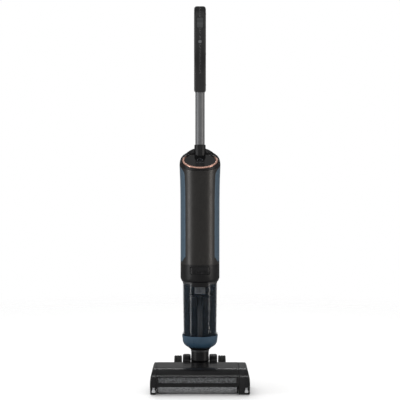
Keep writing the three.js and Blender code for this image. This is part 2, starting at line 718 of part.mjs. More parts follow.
// A plug that closes the round filler mouth in the back of the tank.
function buildCleanTank() {
  const { z, radius, flange, mouthY, depth } = filler;
  const mouth = cylinderZ(radius, -30, 0).rotateX(Math.PI / 2).translate(0, mouthY - depth, z);
  piece('clean_tank', cut(cleanTankBlock(0), cleanTankBlock(cleanTank.wall), mouth), smoked);
  const plug = radius - gap;
  const cap = turned([[0, -depth], [plug, -depth], [plug, 0], [flange, 0], [flange, 2.4], [flange - 1, 3.2],
    [0, 3.2]], 24);
  piece('clean_tank_cap', cap.rotateX(-Math.PI / 2), deepBlue).position.set(0, mouthY, z);
}

// ---- tube and handle ----------------------------------------------------------------------

function handleOutline() {
  const { bottom, top, front, back } = handle;
  const shape = new THREE.Shape();
  const sleeve = handle.half;
  shape.moveTo(tube.y - sleeve, bottom);
  shape.lineTo(tube.y + sleeve, bottom);
  shape.lineTo(tube.y + sleeve, 908);
  shape.bezierCurveTo(tube.y + sleeve, 935, back, 940, back, 985);
  shape.lineTo(back, 1040);
  shape.bezierCurveTo(back, 1080, 55, top, 26, top);
  shape.bezierCurveTo(4, top, front, 1092, front, 1066);
  shape.lineTo(front, 985);
  shape.bezierCurveTo(front, 950, tube.y - sleeve, 940, tube.y - sleeve, 908);
  const fingers = new THREE.Path();
  fingers.moveTo(14, 975);
  fingers.bezierCurveTo(14, 950, 30, 936, 36, 936);
  fingers.bezierCurveTo(46, 936, 52, 955, 52, 985);
  fingers.lineTo(52, 1040);
  fingers.bezierCurveTo(52, 1062, 42, 1075, 30, 1075);
  fingers.bezierCurveTo(20, 1075, 14, 1068, 14, 1058);
  shape.holes.push(fingers);
  return shape;
}

function buildHandle() {
  const { radius, bore, bottom, top } = tube;
  const pipe = turned([[bore, bottom], [radius, bottom], [radius, top], [bore, top], [bore, bottom]], 36);
  piece('extension_tube', pipe, satinAluminium).position.set(0, tube.y, 0);

  const studRoom = cylinderZ(powerButton.radius + gap, -7, 7).rotateX(Math.PI / 2);
  const pockets = [
    cylinderZ(radius + gap, handle.bottom - 5, top + gap, 0, tube.y, 36),
    box(-modeButton.half - gap, modeButton.half + gap, handle.front - 5, handle.front + 7,
      modeButton.bottom - gap, modeButton.top + gap),
    studRoom.translate(0, handle.front, powerButton.z),
  ];
  const half = handle.half;
  const split = gap / 2;
  piece('handle_shell_left', cut(prismX(handleOutline(), -half, -split, 7), ...pockets), blackPlastic);
  piece('handle_shell_right', cut(prismX(handleOutline(), split, half, 7), ...pockets), blackPlastic);

  const face = handle.front - buttonProud;
  const rockerHeight = modeButton.top - modeButton.bottom;
  const rocker = box(-modeButton.half, modeButton.half, 0, modeButton.depth, 0, rockerHeight);
  piece('mode_button', rocker, darkGrey).position.set(0, face, modeButton.bottom);
  const stud = cylinderZ(powerButton.radius, -powerButton.depth, 0, 0, 0, 24).rotateX(Math.PI / 2);
  piece('power_button', stud, paleGrey).position.set(0, face, powerButton.z);

  const collar = turned([[socket.bore, socket.bottom], [socket.radius, socket.bottom],
    [socket.radius, socket.top], [socket.bore, socket.top], [socket.bore, socket.bottom]], 36);
  piece('tube_socket', collar, blackPlastic).position.set(0, tube.y, 0);
}

buildHeadShells();
buildEndCaps();
buildRollerCover();
buildRoller();
buildDrive();
buildWheelsAndHinge();
buildNeck();
buildBaseAndSpine();
buildDirtyTank();
buildBand();
buildBodyShells();
buildBodyInsides();
buildCleanTank();
buildHandle();

export default scrubber;
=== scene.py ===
import math
from types import SimpleNamespace

import bmesh
import bpy
from mathutils import Matrix, Vector, noise
from mathutils.geometry import interpolate_bezier


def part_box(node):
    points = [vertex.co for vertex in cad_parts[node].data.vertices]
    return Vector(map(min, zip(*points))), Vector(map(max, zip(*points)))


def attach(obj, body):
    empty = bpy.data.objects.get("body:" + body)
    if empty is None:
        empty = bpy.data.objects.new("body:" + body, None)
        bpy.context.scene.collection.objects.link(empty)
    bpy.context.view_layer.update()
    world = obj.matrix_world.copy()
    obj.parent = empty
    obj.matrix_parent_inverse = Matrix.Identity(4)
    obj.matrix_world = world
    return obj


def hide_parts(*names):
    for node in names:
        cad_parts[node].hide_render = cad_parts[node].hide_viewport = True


# Shapes are drawn in millimetres about the upright column's axis, then put into the frame in metres.
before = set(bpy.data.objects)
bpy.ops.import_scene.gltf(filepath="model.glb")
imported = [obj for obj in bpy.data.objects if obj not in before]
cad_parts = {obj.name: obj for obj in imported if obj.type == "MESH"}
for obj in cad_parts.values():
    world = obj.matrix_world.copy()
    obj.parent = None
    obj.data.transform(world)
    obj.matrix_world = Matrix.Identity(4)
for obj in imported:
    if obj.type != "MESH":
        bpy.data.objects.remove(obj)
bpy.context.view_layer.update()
mm = 0.001
bandLow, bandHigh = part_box("lower_band")
columnY = (bandLow.y + bandHigh.x) / mm  # the band is round in front, so this is its axis
gap = 0.4  # clearance between pieces that meet
farSide = 90  # past the body on every side, for tools that cut right through
farTop = 820  # above the body and its dome
print("frame loaded, column axis at y", round(columnY, 2), "mm")


def span(node):
    low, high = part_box(node)
    return SimpleNamespace(
        x0=low.x / mm, x1=high.x / mm,
        y0=low.y / mm - columnY, y1=high.y / mm - columnY,
        z0=low.z / mm, z1=high.z / mm,
    )


# outlines: lists of points in a plane

def arc(centreA, centreB, radius, start, end, steps):
    angles = [math.radians(start + (end - start) * i / steps) for i in range(steps + 1)]
    return [(centreA + radius * math.cos(a), centreB + radius * math.sin(a)) for a in angles]


def roundedRect(centreA, centreB, halfA, halfB, radius, steps=6):
    points = []
    for quarter, (signA, signB) in enumerate([(1, 1), (-1, 1), (-1, -1), (1, -1)]):
        a = centreA + signA * (halfA - radius)
        b = centreB + signB * (halfB - radius)
        points += arc(a, b, radius, 90 * quarter, 90 * quarter + 90, steps)
    return points


def curveTo(points, handleA, handleB, end, steps=12):
    knots = [Vector(p) for p in (points[-1], handleA, handleB, end)]
    points += [tuple(p) for p in interpolate_bezier(*knots, steps + 1)[1:]]


# solids: objects in millimetres, closed, with faces outwards

def toObject(name, bm):
    bmesh.ops.remove_doubles(bm, verts=bm.verts, dist=1e-4)
    bmesh.ops.recalc_face_normals(bm, faces=bm.faces)
    mesh = bpy.data.meshes.new(name)
    bm.to_mesh(mesh)
    bm.free()
    obj = bpy.data.objects.new(name, mesh)
    bpy.context.scene.collection.objects.link(obj)
    return obj


def copyOf(obj, name="copy"):
    twin = bpy.data.objects.new(name, obj.data.copy())
    bpy.context.scene.collection.objects.link(twin)
    return twin


def settle(obj):  # makes the modifiers part of the mesh
    graph = bpy.context.evaluated_depsgraph_get()
    shaped = bpy.data.meshes.new_from_object(obj.evaluated_get(graph))
    before = obj.data
    obj.modifiers.clear()
    obj.data = shaped
    bpy.data.meshes.remove(before)
    return obj


turnTo = {
    "Z": Matrix.Identity(4),
    "X": Matrix.Rotation(math.radians(90), 4, "Y"),
    "Y": Matrix.Rotation(math.radians(-90), 4, "X"),
}


def spun(name, profile, steps=96, about="Z", centre=(0, 0, 0)):
    # the profile is a closed loop of (radius, height); an edge along the axis is left out
    bm = bmesh.new()
    verts = [bm.verts.new((radius, 0, height)) for radius, height in profile]
    pairs = zip(verts, verts[1:] + verts[:1])
    edges = [bm.edges.new(pair) for pair in pairs if max(pair[0].co.x, pair[1].co.x) > 0]
    bmesh.ops.spin(
        bm, geom=verts + edges, cent=(0, 0, 0), axis=(0, 0, 1), dvec=(0, 0, 0),
        angle=math.tau, steps=steps, use_merge=True,
    )
    bmesh.ops.transform(bm, matrix=Matrix.Translation(centre) @ turnTo[about], verts=bm.verts)
    return toObject(name, bm)


def rod(name, radius, low, high, about="Z", centre=(0, 0, 0), steps=64):
    return spun(name, [(0, low), (radius, low), (radius, high), (0, high)], steps, about, centre)


def grooveTool(z, floor, mouth, floorHalf, mouthHalf, steps, centre=(0, 0, 0)):  # cuts a groove round Z
    section = [(floor, z - floorHalf), (mouth, z - mouthHalf), (mouth, z + mouthHalf), (floor, z + floorHalf)]
    return spun("groove", section, steps, centre=centre)


def prism(name, points, along, low, high):
    place = {
        "X": lambda a, b: (low, a, b),  # outline in (y, z)
        "Y": lambda a, b: (a, low, b),  # outline in (x, z)
        "Z": lambda a, b: (a, b, low),  # outline in (x, y)
    }[along]
    bm = bmesh.new()
    face = bm.faces.new([bm.verts.new(place(a, b)) for a, b in points])
    grown = bmesh.ops.extrude_face_region(bm, geom=[face])
    moved = [item for item in grown["geom"] if isinstance(item, bmesh.types.BMVert)]
    reach = Vector([float(axis == along) for axis in "XYZ"]) * (high - low)
    bmesh.ops.translate(bm, verts=moved, vec=reach)
    return toObject(name, bm)


def insetOutline(points, distance):  # moves every side of a closed outline inwards
    area = sum(a[0] * b[1] - b[0] * a[1] for a, b in zip(points, points[1:] + points[:1]))
    turn = 1 if area > 0 else -1
    moved = []
    for before, here, after in zip(points[-1:] + points[:-1], points, points[1:] + points[:1]):
        normals = []
        for start, end in ((before, here), (here, after)):
            along = (Vector(end) - Vector(start)).normalized()
            normals.append(Vector((-along.y, along.x)) * turn)
        mitre = (normals[0] + normals[1]) / max(1 + normals[0].dot(normals[1]), 0.4)
        moved.append((here[0] + mitre.x * distance, here[1] + mitre.y * distance))
    return moved


def layered(name, points, layers):  # a prism along X whose outline is inset by its own amount at each x
    bm = bmesh.new()
    x, inset = layers[0]
    face = bm.faces.new([bm.verts.new((x, a, b)) for a, b in insetOutline(points, inset)])
    for x, inset in layers[1:]:
        grown = bmesh.ops.extrude_face_region(bm, geom=[face, *face.edges, *face.verts])
        face = next(item for item in grown["geom"] if isinstance(item, bmesh.types.BMFace))
        for vert, (a, b) in zip(face.verts, insetOutline(points, inset)):
            vert.co = (x, a, b)
    return toObject(name, bm)


def roundedLayers(x0, x1, radius, steps=7):  # square at x0, rounded over at x1
    sign = 1 if x1 > x0 else -1
    layers = [(x0, 0)]
    for i in range(steps + 1):
        a = math.radians(90 * i / steps)
        layers.append((x1 - sign * radius * (1 - math.sin(a)), radius * (1 - math.cos(a))))
    return layers


def block(x0, x1, y0, y1, z0, z1):
    return prism("block", [(x0, y0), (x1, y0), (x1, y1), (x0, y1)], "Z", z0, z1)


def combine(obj, tool, operation="DIFFERENCE"):
    change = obj.modifiers.new("combine", "BOOLEAN")
    change.operation = operation
    change.solver = "MANIFOLD"
    change.object = tool
    settle(obj)
    bpy.data.objects.remove(tool)
    return obj


def cut(obj, *tools):
    for tool in tools:
        combine(obj, tool)
    return obj


def join(obj, *tools):
    for tool in tools:
        combine(obj, tool, "UNION")
    return obj


def keep(obj, *tools):
    for tool in tools:
        combine(obj, tool, "INTERSECT")
    return obj


def roundEdges(obj, width, segments=3, angle=35, clamp=True):
    bm = bmesh.new()
    bm.from_mesh(obj.data)
    bmesh.ops.remove_doubles(bm, verts=bm.verts, dist=0.03)
    edges = [
        edge for edge in bm.edges
        if len(edge.link_faces) == 2
        and edge.calc_face_angle() > math.radians(angle)
    ]
    bmesh.ops.bevel(
        bm, geom=edges, offset=width, offset_type="OFFSET", affect="EDGES",
        segments=segments, profile=0.5, clamp_overlap=clamp, material=-1,
    )
    bm.to_mesh(obj.data)
    bm.free()
    return obj


# materials

def linear(hexColour):  # sRGB hex to the linear values the shaders take
    parts = [int(hexColour[i:i + 2], 16) / 255 for i in (0, 2, 4)]
    return tuple(p / 12.92 if p <= 0.04045 else ((p + 0.055) / 1.055) ** 2.4 for p in parts) + (1,)


def addNode(material, kind, inputs=None, **settings):
    node = material.node_tree.nodes.new("ShaderNode" + kind)
    for name, value in settings.items():
        setattr(node, name, value)
    for name, value in (inputs or {}).items():
        if isinstance(value, bpy.types.NodeSocket):
            material.node_tree.links.new(value, node.inputs[name])
        else:
            node.inputs[name].default_value = value
    return node


def emptyMaterial(name):
    material = bpy.data.materials.new(name)
    material.use_nodes = True
    material.node_tree.nodes.clear()
    place = addNode(material, "TexCoord").outputs["Object"]
    return material, place


def noiseOf(material, place, size, detail=3, stretch=(1, 1, 1)):  # size of a feature in mm
    turned = addNode(material, "Mapping", {"Vector": place, "Scale": stretch})
    pattern = addNode(material, "TexNoise", {
        "Vector": turned.outputs[0], "Scale": 1 / (size * mm), "Detail": detail,
    })
    return pattern.outputs[0]


def spread(material, value, low, high, fromLow=0.3, fromHigh=0.7):
    return addNode(material, "MapRange", {
        "Value": value, "From Min": fromLow, "From Max": fromHigh, "To Min": low, "To Max": high,
    }).outputs[0]


def blendColours(material, factor, colourA, colourB):
    return addNode(material, "Mix", {0: factor, 6: colourA, 7: colourB}, data_type="RGBA").outputs[2]


def close(material, inputs):
    shader = addNode(material, "BsdfPrincipled", inputs)
    addNode(material, "OutputMaterial", {"Surface": shader.outputs[0]})
    return material


def mouldedPlastic(name, look):
    # grain from the mould, patches where the melt cooled unevenly, and edges rubbed a little paler
    material, place = emptyMaterial(name)
    patches = noiseOf(material, place, look.get("patch", 18))
    grain = noiseOf(material, place, look["grain"], 2)
    bump = addNode(material, "Bump", {"Height": grain, "Distance": look["depth"] * mm, "Strength": 1.0})
    edge = addNode(material, "NewGeometry").outputs["Pointiness"]
    rubbed = spread(material, edge, 0, look.get("wear", 0.25), 0.51, 0.6)
    melt = spread(material, patches, 0, 1)
    tone = blendColours(material, melt, linear(look["colour"]), linear(look["tone"]))
    colour = blendColours(material, rubbed, tone, linear(look["worn"]))
    half = look.get("range", 0.05)
    rough = spread(material, patches, look["roughness"] - half, look["roughness"] + half)
    return close(material, {
        "Base Color": colour, "Roughness": rough, "Normal": bump.outputs[0],
        "IOR": look.get("ior", 1.53), "Metallic": look.get("metallic", 0.0),
        "Coat Weight": look.get("coat", 0.0), "Coat Roughness": 0.08,
    })


def flakePaint(name, look):
    # a satin lacquer over fine aluminium flakes, drawn about three times coarser than life to show
    material, place = emptyMaterial(name)
    patches = noiseOf(material, place, 30)
    flakes = addNode(material, "TexVoronoi", {"Vector": place, "Scale": 1 / (look["flake"] * mm)})
    glint = spread(material, flakes.outputs["Color"], 0, look["glint"], 0.55, 1.0)
    colour = blendColours(material, glint, linear(look["colour"]), linear(look["bright"]))
    peel = noiseOf(material, place, 2.2, 2)
    bump = addNode(material, "Bump", {"Height": peel, "Distance": 0.012 * mm, "Strength": 1.0})
    rough = spread(material, patches, look["roughness"] - 0.04, look["roughness"] + 0.04)
    return close(material, {
        "Base Color": colour, "Roughness": rough, "Metallic": look["metallic"],
        "Normal": bump.outputs[0], "Coat Weight": look["coat"], "Coat Roughness": 0.22,
    })


def workedMetal(name, look):
    # lines left by drawing, brushing or rolling, which spread the shine across them
    material, place = emptyMaterial(name)
    lines = noiseOf(material, place, look["line"], 4, look["stretch"])
    patches = noiseOf(material, place, 25)
    bump = addNode(material, "Bump", {"Height": lines, "Distance": look["depth"] * mm, "Strength": 1.0})
    rough = spread(material, lines, look["roughness"] - 0.07, look["roughness"] + 0.07)
    colour = blendColours(material, patches, linear(look["colour"]), linear(look["tone"]))
    return close(material, {
        "Base Color": colour, "Roughness": rough, "Metallic": 1.0, "Normal": bump.outputs[0],
    })


def shadedPlating(name, look):
    # plated plastic, lightly brushed, with painted shade: its colour runs to near black towards the back,
    # standing in for the shade the back of the ring falls into
    material, place = emptyMaterial(name)
    along = addNode(material, "SeparateXYZ", {"Vector": place}).outputs["Y"]
    # painted shade: from near to far along y the colour is blended to the smoked near-black
    near, far = ((columnY + y) * mm for y in look["fade"])
    fade = spread(material, along, 0, 1, near, far)
    brushed = noiseOf(material, place, 0.8, 2, (0.2, 1, 1))
    bump = addNode(material, "Bump", {"Height": brushed, "Distance": 0.0006 * mm, "Strength": 1.0})
    rough = spread(material, brushed, look["roughness"] - 0.04, look["roughness"] + 0.04)
    return close(material, {
        "Base Color": blendColours(material, fade, linear(look["colour"]), linear(look["smoked"])),
        "Roughness": rough, "Metallic": look["metallic"], "Normal": bump.outputs[0],
    })


def clearPlastic(name, look):
    # tinted polycarbonate: see-through face on, darker and glossier where the wall turns away
    material, place = emptyMaterial(name)
    facing = addNode(material, "LayerWeight", {"Blend": 0.35}).outputs["Facing"]
    hazeSpots = noiseOf(material, place, 9, 4)
    haze = spread(material, hazeSpots, 0, look["haze"])
    wall = spread(material, facing, look["thin"], look["thick"], 0.0, 0.85)
    alpha = addNode(material, "Math", {0: wall, 1: haze}, operation="ADD", use_clamp=True).outputs[0]
    flow = noiseOf(material, place, 14, 2)
    bump = addNode(material, "Bump", {"Height": flow, "Distance": 0.05 * mm, "Strength": 1.0})
    rough = spread(material, hazeSpots, look["roughness"], look["roughness"] + 0.08)
    return close(material, {
        "Base Color": blendColours(material, haze, linear(look["colour"]), linear(look["film"])),
        "Roughness": rough, "IOR": 1.58, "Alpha": alpha, "Normal": bump.outputs[0],
    })


def microfibre(name, look):
    # cut pile of split fibres: no shine of its own, a soft sheen, and tufts lying in different ways
    material, place = emptyMaterial(name)
    tufts = noiseOf(material, place, look["tuft"], 4, (0.6, 1, 1))
    fibres = noiseOf(material, place, look["fibre"], 2)
    mixed = addNode(material, "Math", {0: tufts, 1: fibres}, operation="MULTIPLY").outputs[0]
    shade = spread(material, mixed, 0, 1, 0.14, 0.38)
    bump = addNode(material, "Bump", {"Height": mixed, "Distance": 0.7 * mm, "Strength": 1.0})
    return close(material, {
        "Base Color": blendColours(material, shade, linear(look["deep"]), linear(look["tip"])),
        "Roughness": spread(material, fibres, 0.85, 1.0), "Normal": bump.outputs[0],
        "Sheen Weight": 0.5, "Sheen Roughness": 0.4,
    })


blackAbs = mouldedPlastic("moulded ABS, black", {  # spark-eroded mould: even satin black
    "colour": "101011", "tone": "151516", "worn": "2f2f30",
    "roughness": 0.42, "grain": 0.6, "depth": 0.018, "wear": 0.3, "ior": 1.4,
})
glossAbs = mouldedPlastic("polished ABS, black", {  # polished mould: deep gloss with faint ripples
    "colour": "0f0f10", "tone": "141415", "worn": "2f2f30",
    "roughness": 0.2, "range": 0.05, "grain": 1.6, "depth": 0.006, "wear": 0.35, "patch": 24,
})
greyAbs = mouldedPlastic("moulded ABS, dark grey", {  # the same finish with more pigment in it
    "colour": "2f3031", "tone": "363738", "worn": "56585a",
    "roughness": 0.46, "grain": 0.6, "depth": 0.02, "wear": 0.3,
})
gripTpe = mouldedPlastic("overmoulded soft grip", {  # a rubbery skin, dull with a fine dimple
    "colour": "151516", "tone": "1b1b1c", "worn": "303031",
    "roughness": 0.52, "grain": 0.9, "depth": 0.012, "wear": 0.2,
})
deepBlueAbs = mouldedPlastic("tinted ABS, deep blue", {  # smooth tinted plastic, half glossy
    "colour": "2a4052", "tone": "30495c", "worn": "5b7385",
    "roughness": 0.3, "grain": 1.4, "depth": 0.008, "wear": 0.3, "patch": 26,
})
paleNylon = mouldedPlastic("moulded nylon, pale grey", {  # waxy, a little translucent, dirt in its grain
    "colour": "b9bbbd", "tone": "a4a6a8", "worn": "d4d5d6",
    "roughness": 0.5, "grain": 0.8, "depth": 0.02, "wear": 0.4,
})
tyreRubber = mouldedPlastic("vulcanised rubber", {  # matt black with a greyish bloom
    "colour": "121212", "tone": "1d1d1c", "worn": "343331",
    "roughness": 0.82, "grain": 0.7, "depth": 0.05, "wear": 0.35,
})
filterPaper = mouldedPlastic("pleated filter paper", {  # fibrous and matt, greyed by use
    "colour": "808284", "tone": "6c6f72", "worn": "a2a4a6",
    "roughness": 0.9, "grain": 0.5, "depth": 0.05, "wear": 0.4,
})
batteryWrap = mouldedPlastic("shrink wrap, blue", {  # thin tight film, glossy with slight wrinkles
    "colour": "24405c", "tone": "2b4a69", "worn": "46678a",
    "roughness": 0.25, "grain": 5, "depth": 0.12, "wear": 0.2,
})
boardGreen = mouldedPlastic("solder mask, green", {  # lacquer over glass weave and copper
    "colour": "1d4a34", "tone": "17402c", "worn": "8a6d3b",
    "roughness": 0.35, "grain": 1.2, "depth": 0.02, "wear": 0.5,
})
greyNylon = mouldedPlastic("moulded nylon, mid grey", {  # the same nylon with carbon in it, duller
    "colour": "606264", "tone": "56585a", "worn": "85878a",
    "roughness": 0.5, "grain": 0.8, "depth": 0.02, "wear": 0.4,
})
printedInk = mouldedPlastic("screen-printed ink, pale", {  # thin matt ink behind the lens
    "colour": "55595d", "tone": "4c5054", "worn": "6a6e72",
    "roughness": 0.5, "grain": 0.4, "depth": 0.004, "wear": 0.1,
})
charcoalPaint = flakePaint("metallic lacquer, charcoal", {  # satin and warm grey, lively under a strip light
    "colour": "282726", "bright": "6b6662", "flake": 0.5, "glint": 0.4,
    "metallic": 0.4, "roughness": 0.38, "coat": 0.1,
})
slatePaint = flakePaint("metallic lacquer, slate blue", {  # the same lacquer over a blue ground
    "colour": "465a6a", "bright": "8fa3b3", "flake": 0.5, "glint": 0.4,
    "metallic": 0.35, "roughness": 0.38, "coat": 0.1,
})
drawnAluminium = workedMetal("anodised aluminium, drawn tube", {  # fine lines along its length
    "colour": "8b8c8e", "tone": "959698", "line": 0.7, "stretch": (1, 1, 0.02),
    "depth": 0.002, "roughness": 0.6,
})
turnedSteel = workedMetal("turned steel", {  # rings left by the lathe
    "colour": "8b8d90", "tone": "7b7d80", "line": 0.6, "stretch": (1, 0.1, 0.1),
    "depth": 0.006, "roughness": 0.3,
})
castAluminium = workedMetal("cast aluminium", {  # pale and slightly rough all over
    "colour": "8e8f91", "tone": "7f8082", "line": 1.1, "stretch": (1, 1, 1),
    "depth": 0.03, "roughness": 0.42,
})
roseTrim = shadedPlating("plated trim, rose gold", {  # a bright warm mirror in front, painted shade of near black behind
    # the smoked colour and its fade are painted shade on the back half of the ring
    "colour": "e6b5a2", "smoked": "141112", "fade": (-12, 8), "roughness": 0.26, "metallic": 0.6,
})
smokedClear = clearPlastic("smoked polycarbonate", {  # a grey jar that shows what is in it
    "colour": "1f2a34", "film": "59616a", "thin": 0.13, "thick": 0.42, "haze": 0.06, "roughness": 0.03,
})
darkClear = clearPlastic("smoked polycarbonate, dark", {  # the same grey, deeper, so its inside is half hidden
    "colour": "1b242c", "film": "454c54", "thin": 0.5, "thick": 0.75, "haze": 0.06, "roughness": 0.08,
})
paleClear = clearPlastic("clear polycarbonate, light smoke", {  # the small window over the roller
    "colour": "1a1c1e", "film": "606468", "thin": 0.1, "thick": 0.6, "haze": 0.05, "roughness": 0.05,
})
displayGlass = mouldedPlastic("lens over the display, black", {  # flat black mirror with a faint smear
    "colour": "060607", "tone": "0a0a0b", "worn": "1c1c1d",
    "roughness": 0.09, "range": 0.03, "grain": 6, "depth": 0.003, "wear": 0.1, "coat": 0.4,
})
napCloth = microfibre("woven microfibre, cut pile", {
    "deep": "3b3c3e", "tip": "a8aaac", "tuft": 2.8, "fibre": 0.9,  # fibres drawn coarser to show
})
print("materials made")


def finishPiece(obj, body, nodes, material, smooth=35, weighted=True):
    intoFrame = Matrix.Translation((0, columnY * mm, 0)) @ Matrix.Diagonal((mm, mm, mm, 1))
    obj.data.transform(intoFrame)
    obj.data.materials.clear()
    obj.data.materials.append(material)
    obj.data.shade_smooth()
    obj.data.set_sharp_from_angle(angle=math.radians(smooth))
    if weighted:
        normals = obj.modifiers.new("normals", "WEIGHTED_NORMAL")
        normals.keep_sharp = True
        settle(obj)
    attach(obj, body)
    if nodes:
        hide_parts(*nodes)
    return obj


def keepNode(node, material):
    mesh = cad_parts[node].data
    mesh.materials.clear()
    mesh.materials.append(material)


# upright body

bodyShape = {
    "sides": [(356.0, 56.2), (450, 56.25), (540, 56.4), (575, 56.8), (600, 57.4), (622, 58.3), (640, 59)],
    "domeHeight": 58, "wall": 2.6, "rearDepth": 1.3, "steps": 144, "domeSteps": 26,
    "face": (-55, 632, math.tan(math.radians(27.5))),  # front y, z there, rise towards the back
    "seam": (-57, 624, 0.32),
    "crown": {"behindRing": 2, "run": 8, "rise": 26, "wall": 2.6}, "roof": 4,
}
panelShape = {"front": -37, "back": 34, "bottom": 364, "archZ": 610, "archRise": 27, "corner": 14}
pocketShape = {"front": 40.4, "bottom": 385, "top": 600, "lining": 2.4}
ringShape = {"y": -14, "radiusX": 50.5, "radiusY": 42.5, "width": 5, "sink": 3, "proud": 2.2, "round": 1.5}
socketShape = {"y": 30, "radius": 16.5, "bore": 13.9, "flutes": 20, "fluteRing": 1.035, "fluteRadius": 0.95}
ventShape = {"count": 5, "z": 362.5, "pitch": 4.2, "half": 19, "halfHeight": 0.9, "round": 0.85}


def deepen(obj):  # stretches the half behind the axis
    for vert in obj.data.vertices:
        if vert.co.y > 0:
            vert.co.y *= bodyShape["rearDepth"]
    return obj


def bodyProfile(inset):
    domeZ, domeRadius = bodyShape["sides"][-1]
    side = [(sideRadius - inset, z) for z, sideRadius in bodyShape["sides"][:-1]]
    radius, height, steps = domeRadius - inset, bodyShape["domeHeight"] - inset, bodyShape["domeSteps"]
    crown = []
    for i in range(steps):
        a = math.radians(90 * i / steps)
        crown.append((radius * math.cos(a), domeZ + height * math.sin(a)))
    return side + crown + [(0, domeZ + height)]


def bodyShell():
    return deepen(spun("shell", bodyProfile(0) + bodyProfile(bodyShape["wall"])[::-1], bodyShape["steps"]))


def bodySolid(inset=0):
    profile = bodyProfile(inset)
    return deepen(spun("solid", [(0, profile[0][1])] + profile, bodyShape["steps"]))


def above(plane, offset):
    frontY, frontZ, rise = bodyShape[plane]
    z0, z1 = (frontZ + offset + (y - frontY) * rise for y in (-farSide, farSide))
    outline = [(-farSide, z0), (farSide, z1), (farSide, farTop), (-farSide, farTop)]
    return prism("above", outline, "X", -farSide, farSide)


def faceRegion(drop, reach):  # the slanted face, with a steep step up to the crown behind it
    frontY, frontZ, rise = bodyShape["face"]
    crown = bodyShape["crown"]
    back = ringShape["y"] + ringShape["radiusY"] + crown["behindRing"] + reach
    start, end = (frontZ - drop + (y - frontY) * rise for y in (-farSide, back))
    top = back + crown["run"]
    outline = [(-farSide, start), (back, end), (top, end + crown["rise"]), (top, farTop), (-farSide, farTop)]
    return prism("face", outline, "X", -farSide, farSide)


def panelPrism(grow, x0, x1):
    shape = panelShape
    middle = (shape["front"] + shape["back"]) / 2
    half = (shape["back"] - shape["front"]) / 2 + grow
    arch = [
        (middle + half * math.cos(a), shape["archZ"] + (shape["archRise"] + grow) * math.sin(a))
        for a in [math.pi * i / 32 for i in range(33)]
    ]
    bottom, corner = shape["bottom"], shape["corner"]
    feet = [
        (middle - half, bottom + corner), (middle - half + corner, bottom - grow),
        (middle + half - corner, bottom - grow), (middle + half, bottom + corner),
    ]
    return prism("panel", arch + feet, "X", x0, x1)


def buildBodyShells():
    shell = bodyShell()
    skirt = cut(copyOf(shell), above("seam", 0))

    front = keep(copyOf(skirt, "frontCover"), block(-80, 80, -80, -gap / 2, 300, 760))
    cut(front, panelPrism(gap, -farSide, farSide))
    roundEdges(front, 0.5, 2, clamp=False)
    finishPiece(front, "body", ["front_cover"], charcoalPaint)

    for name, x0, x1 in (("Left", -farSide, -20), ("Right", 20, farSide)):
        side = keep(copyOf(skirt, "sidePanel" + name), panelPrism(0, x0, x1))
        roundEdges(side, 0.7, 3, clamp=False)
        finishPiece(side, "body", ["side_panel_" + name.lower()], slatePaint)

    room = (-80, 80, pocketShape["front"] - gap, 90, pocketShape["bottom"] - gap, pocketShape["top"] + gap)
    wall = pocketShape["lining"]
    walls = (-80, 80, room[2] - wall, 90, room[4] - wall, room[5] + wall)
    back = keep(copyOf(skirt, "rearShell"), block(-80, 80, gap / 2, 90, 300, 760))
    cut(back, panelPrism(gap, -farSide, farSide), block(*room))
    join(back, cut(keep(bodySolid(), block(*walls)), block(*room)))
    for i in range(ventShape["count"]):
        z = ventShape["z"] + ventShape["pitch"] * i
        slit = roundedRect(0, z, ventShape["half"], ventShape["halfHeight"], ventShape["round"])
        cut(back, prism("vent", slit, "Y", 60, farSide))
    roundEdges(back, 0.5, 2, clamp=False)
    finishPiece(back, "body", ["rear_shell"], blackAbs)

    cap = cut(keep(copyOf(shell, "topDome"), above("seam", gap)), faceRegion(0, 0))
    roof = keep(bodySolid(), faceRegion(bodyShape["roof"], bodyShape["crown"]["wall"]))
    join(cap, cut(roof, faceRegion(0, 0)))
    hole = prism("hole", ellipsePoints(gap), "Z", 590, 720)
    cut(cap, hole, rod("hole", socketShape["radius"] + gap, 600, 720, centre=(0, socketShape["y"], 0)))
    roundEdges(cap, 0.8, 3, clamp=False)
    finishPiece(cap, "body", ["top_dome"], blackAbs)
    for spare in (shell, skirt):
        bpy.data.objects.remove(spare)


def ellipsePoints(grow, steps=96):
    radiusX = ringShape["radiusX"] + grow
    radiusY = ringShape["radiusY"] + grow
    angles = [math.tau * i / steps for i in range(steps)]
    return [(radiusX * math.cos(a), ringShape["y"] + radiusY * math.sin(a)) for a in angles]


def ontoFace(obj):  # lays something drawn level at z = 0 onto the slanted face
    frontY, frontZ, rise = bodyShape["face"]
    ratio = ringShape["radiusY"] / ringShape["radiusX"]
    for vert in obj.data.vertices:
        y = ringShape["y"] + vert.co.y * ratio
        vert.co = (vert.co.x, y, vert.co.z + frontZ + (y - frontY) * rise)
    return obj


markShape = {
    "ring": 8.5, "line": 0.8, "ringY": 4, "thick": 0.15, "lift": 0.01,
    "bar": 5.5, "barHalfHeight": 0.7, "barRound": 0.6, "barPitch": 8, "barDrop": 16,
}


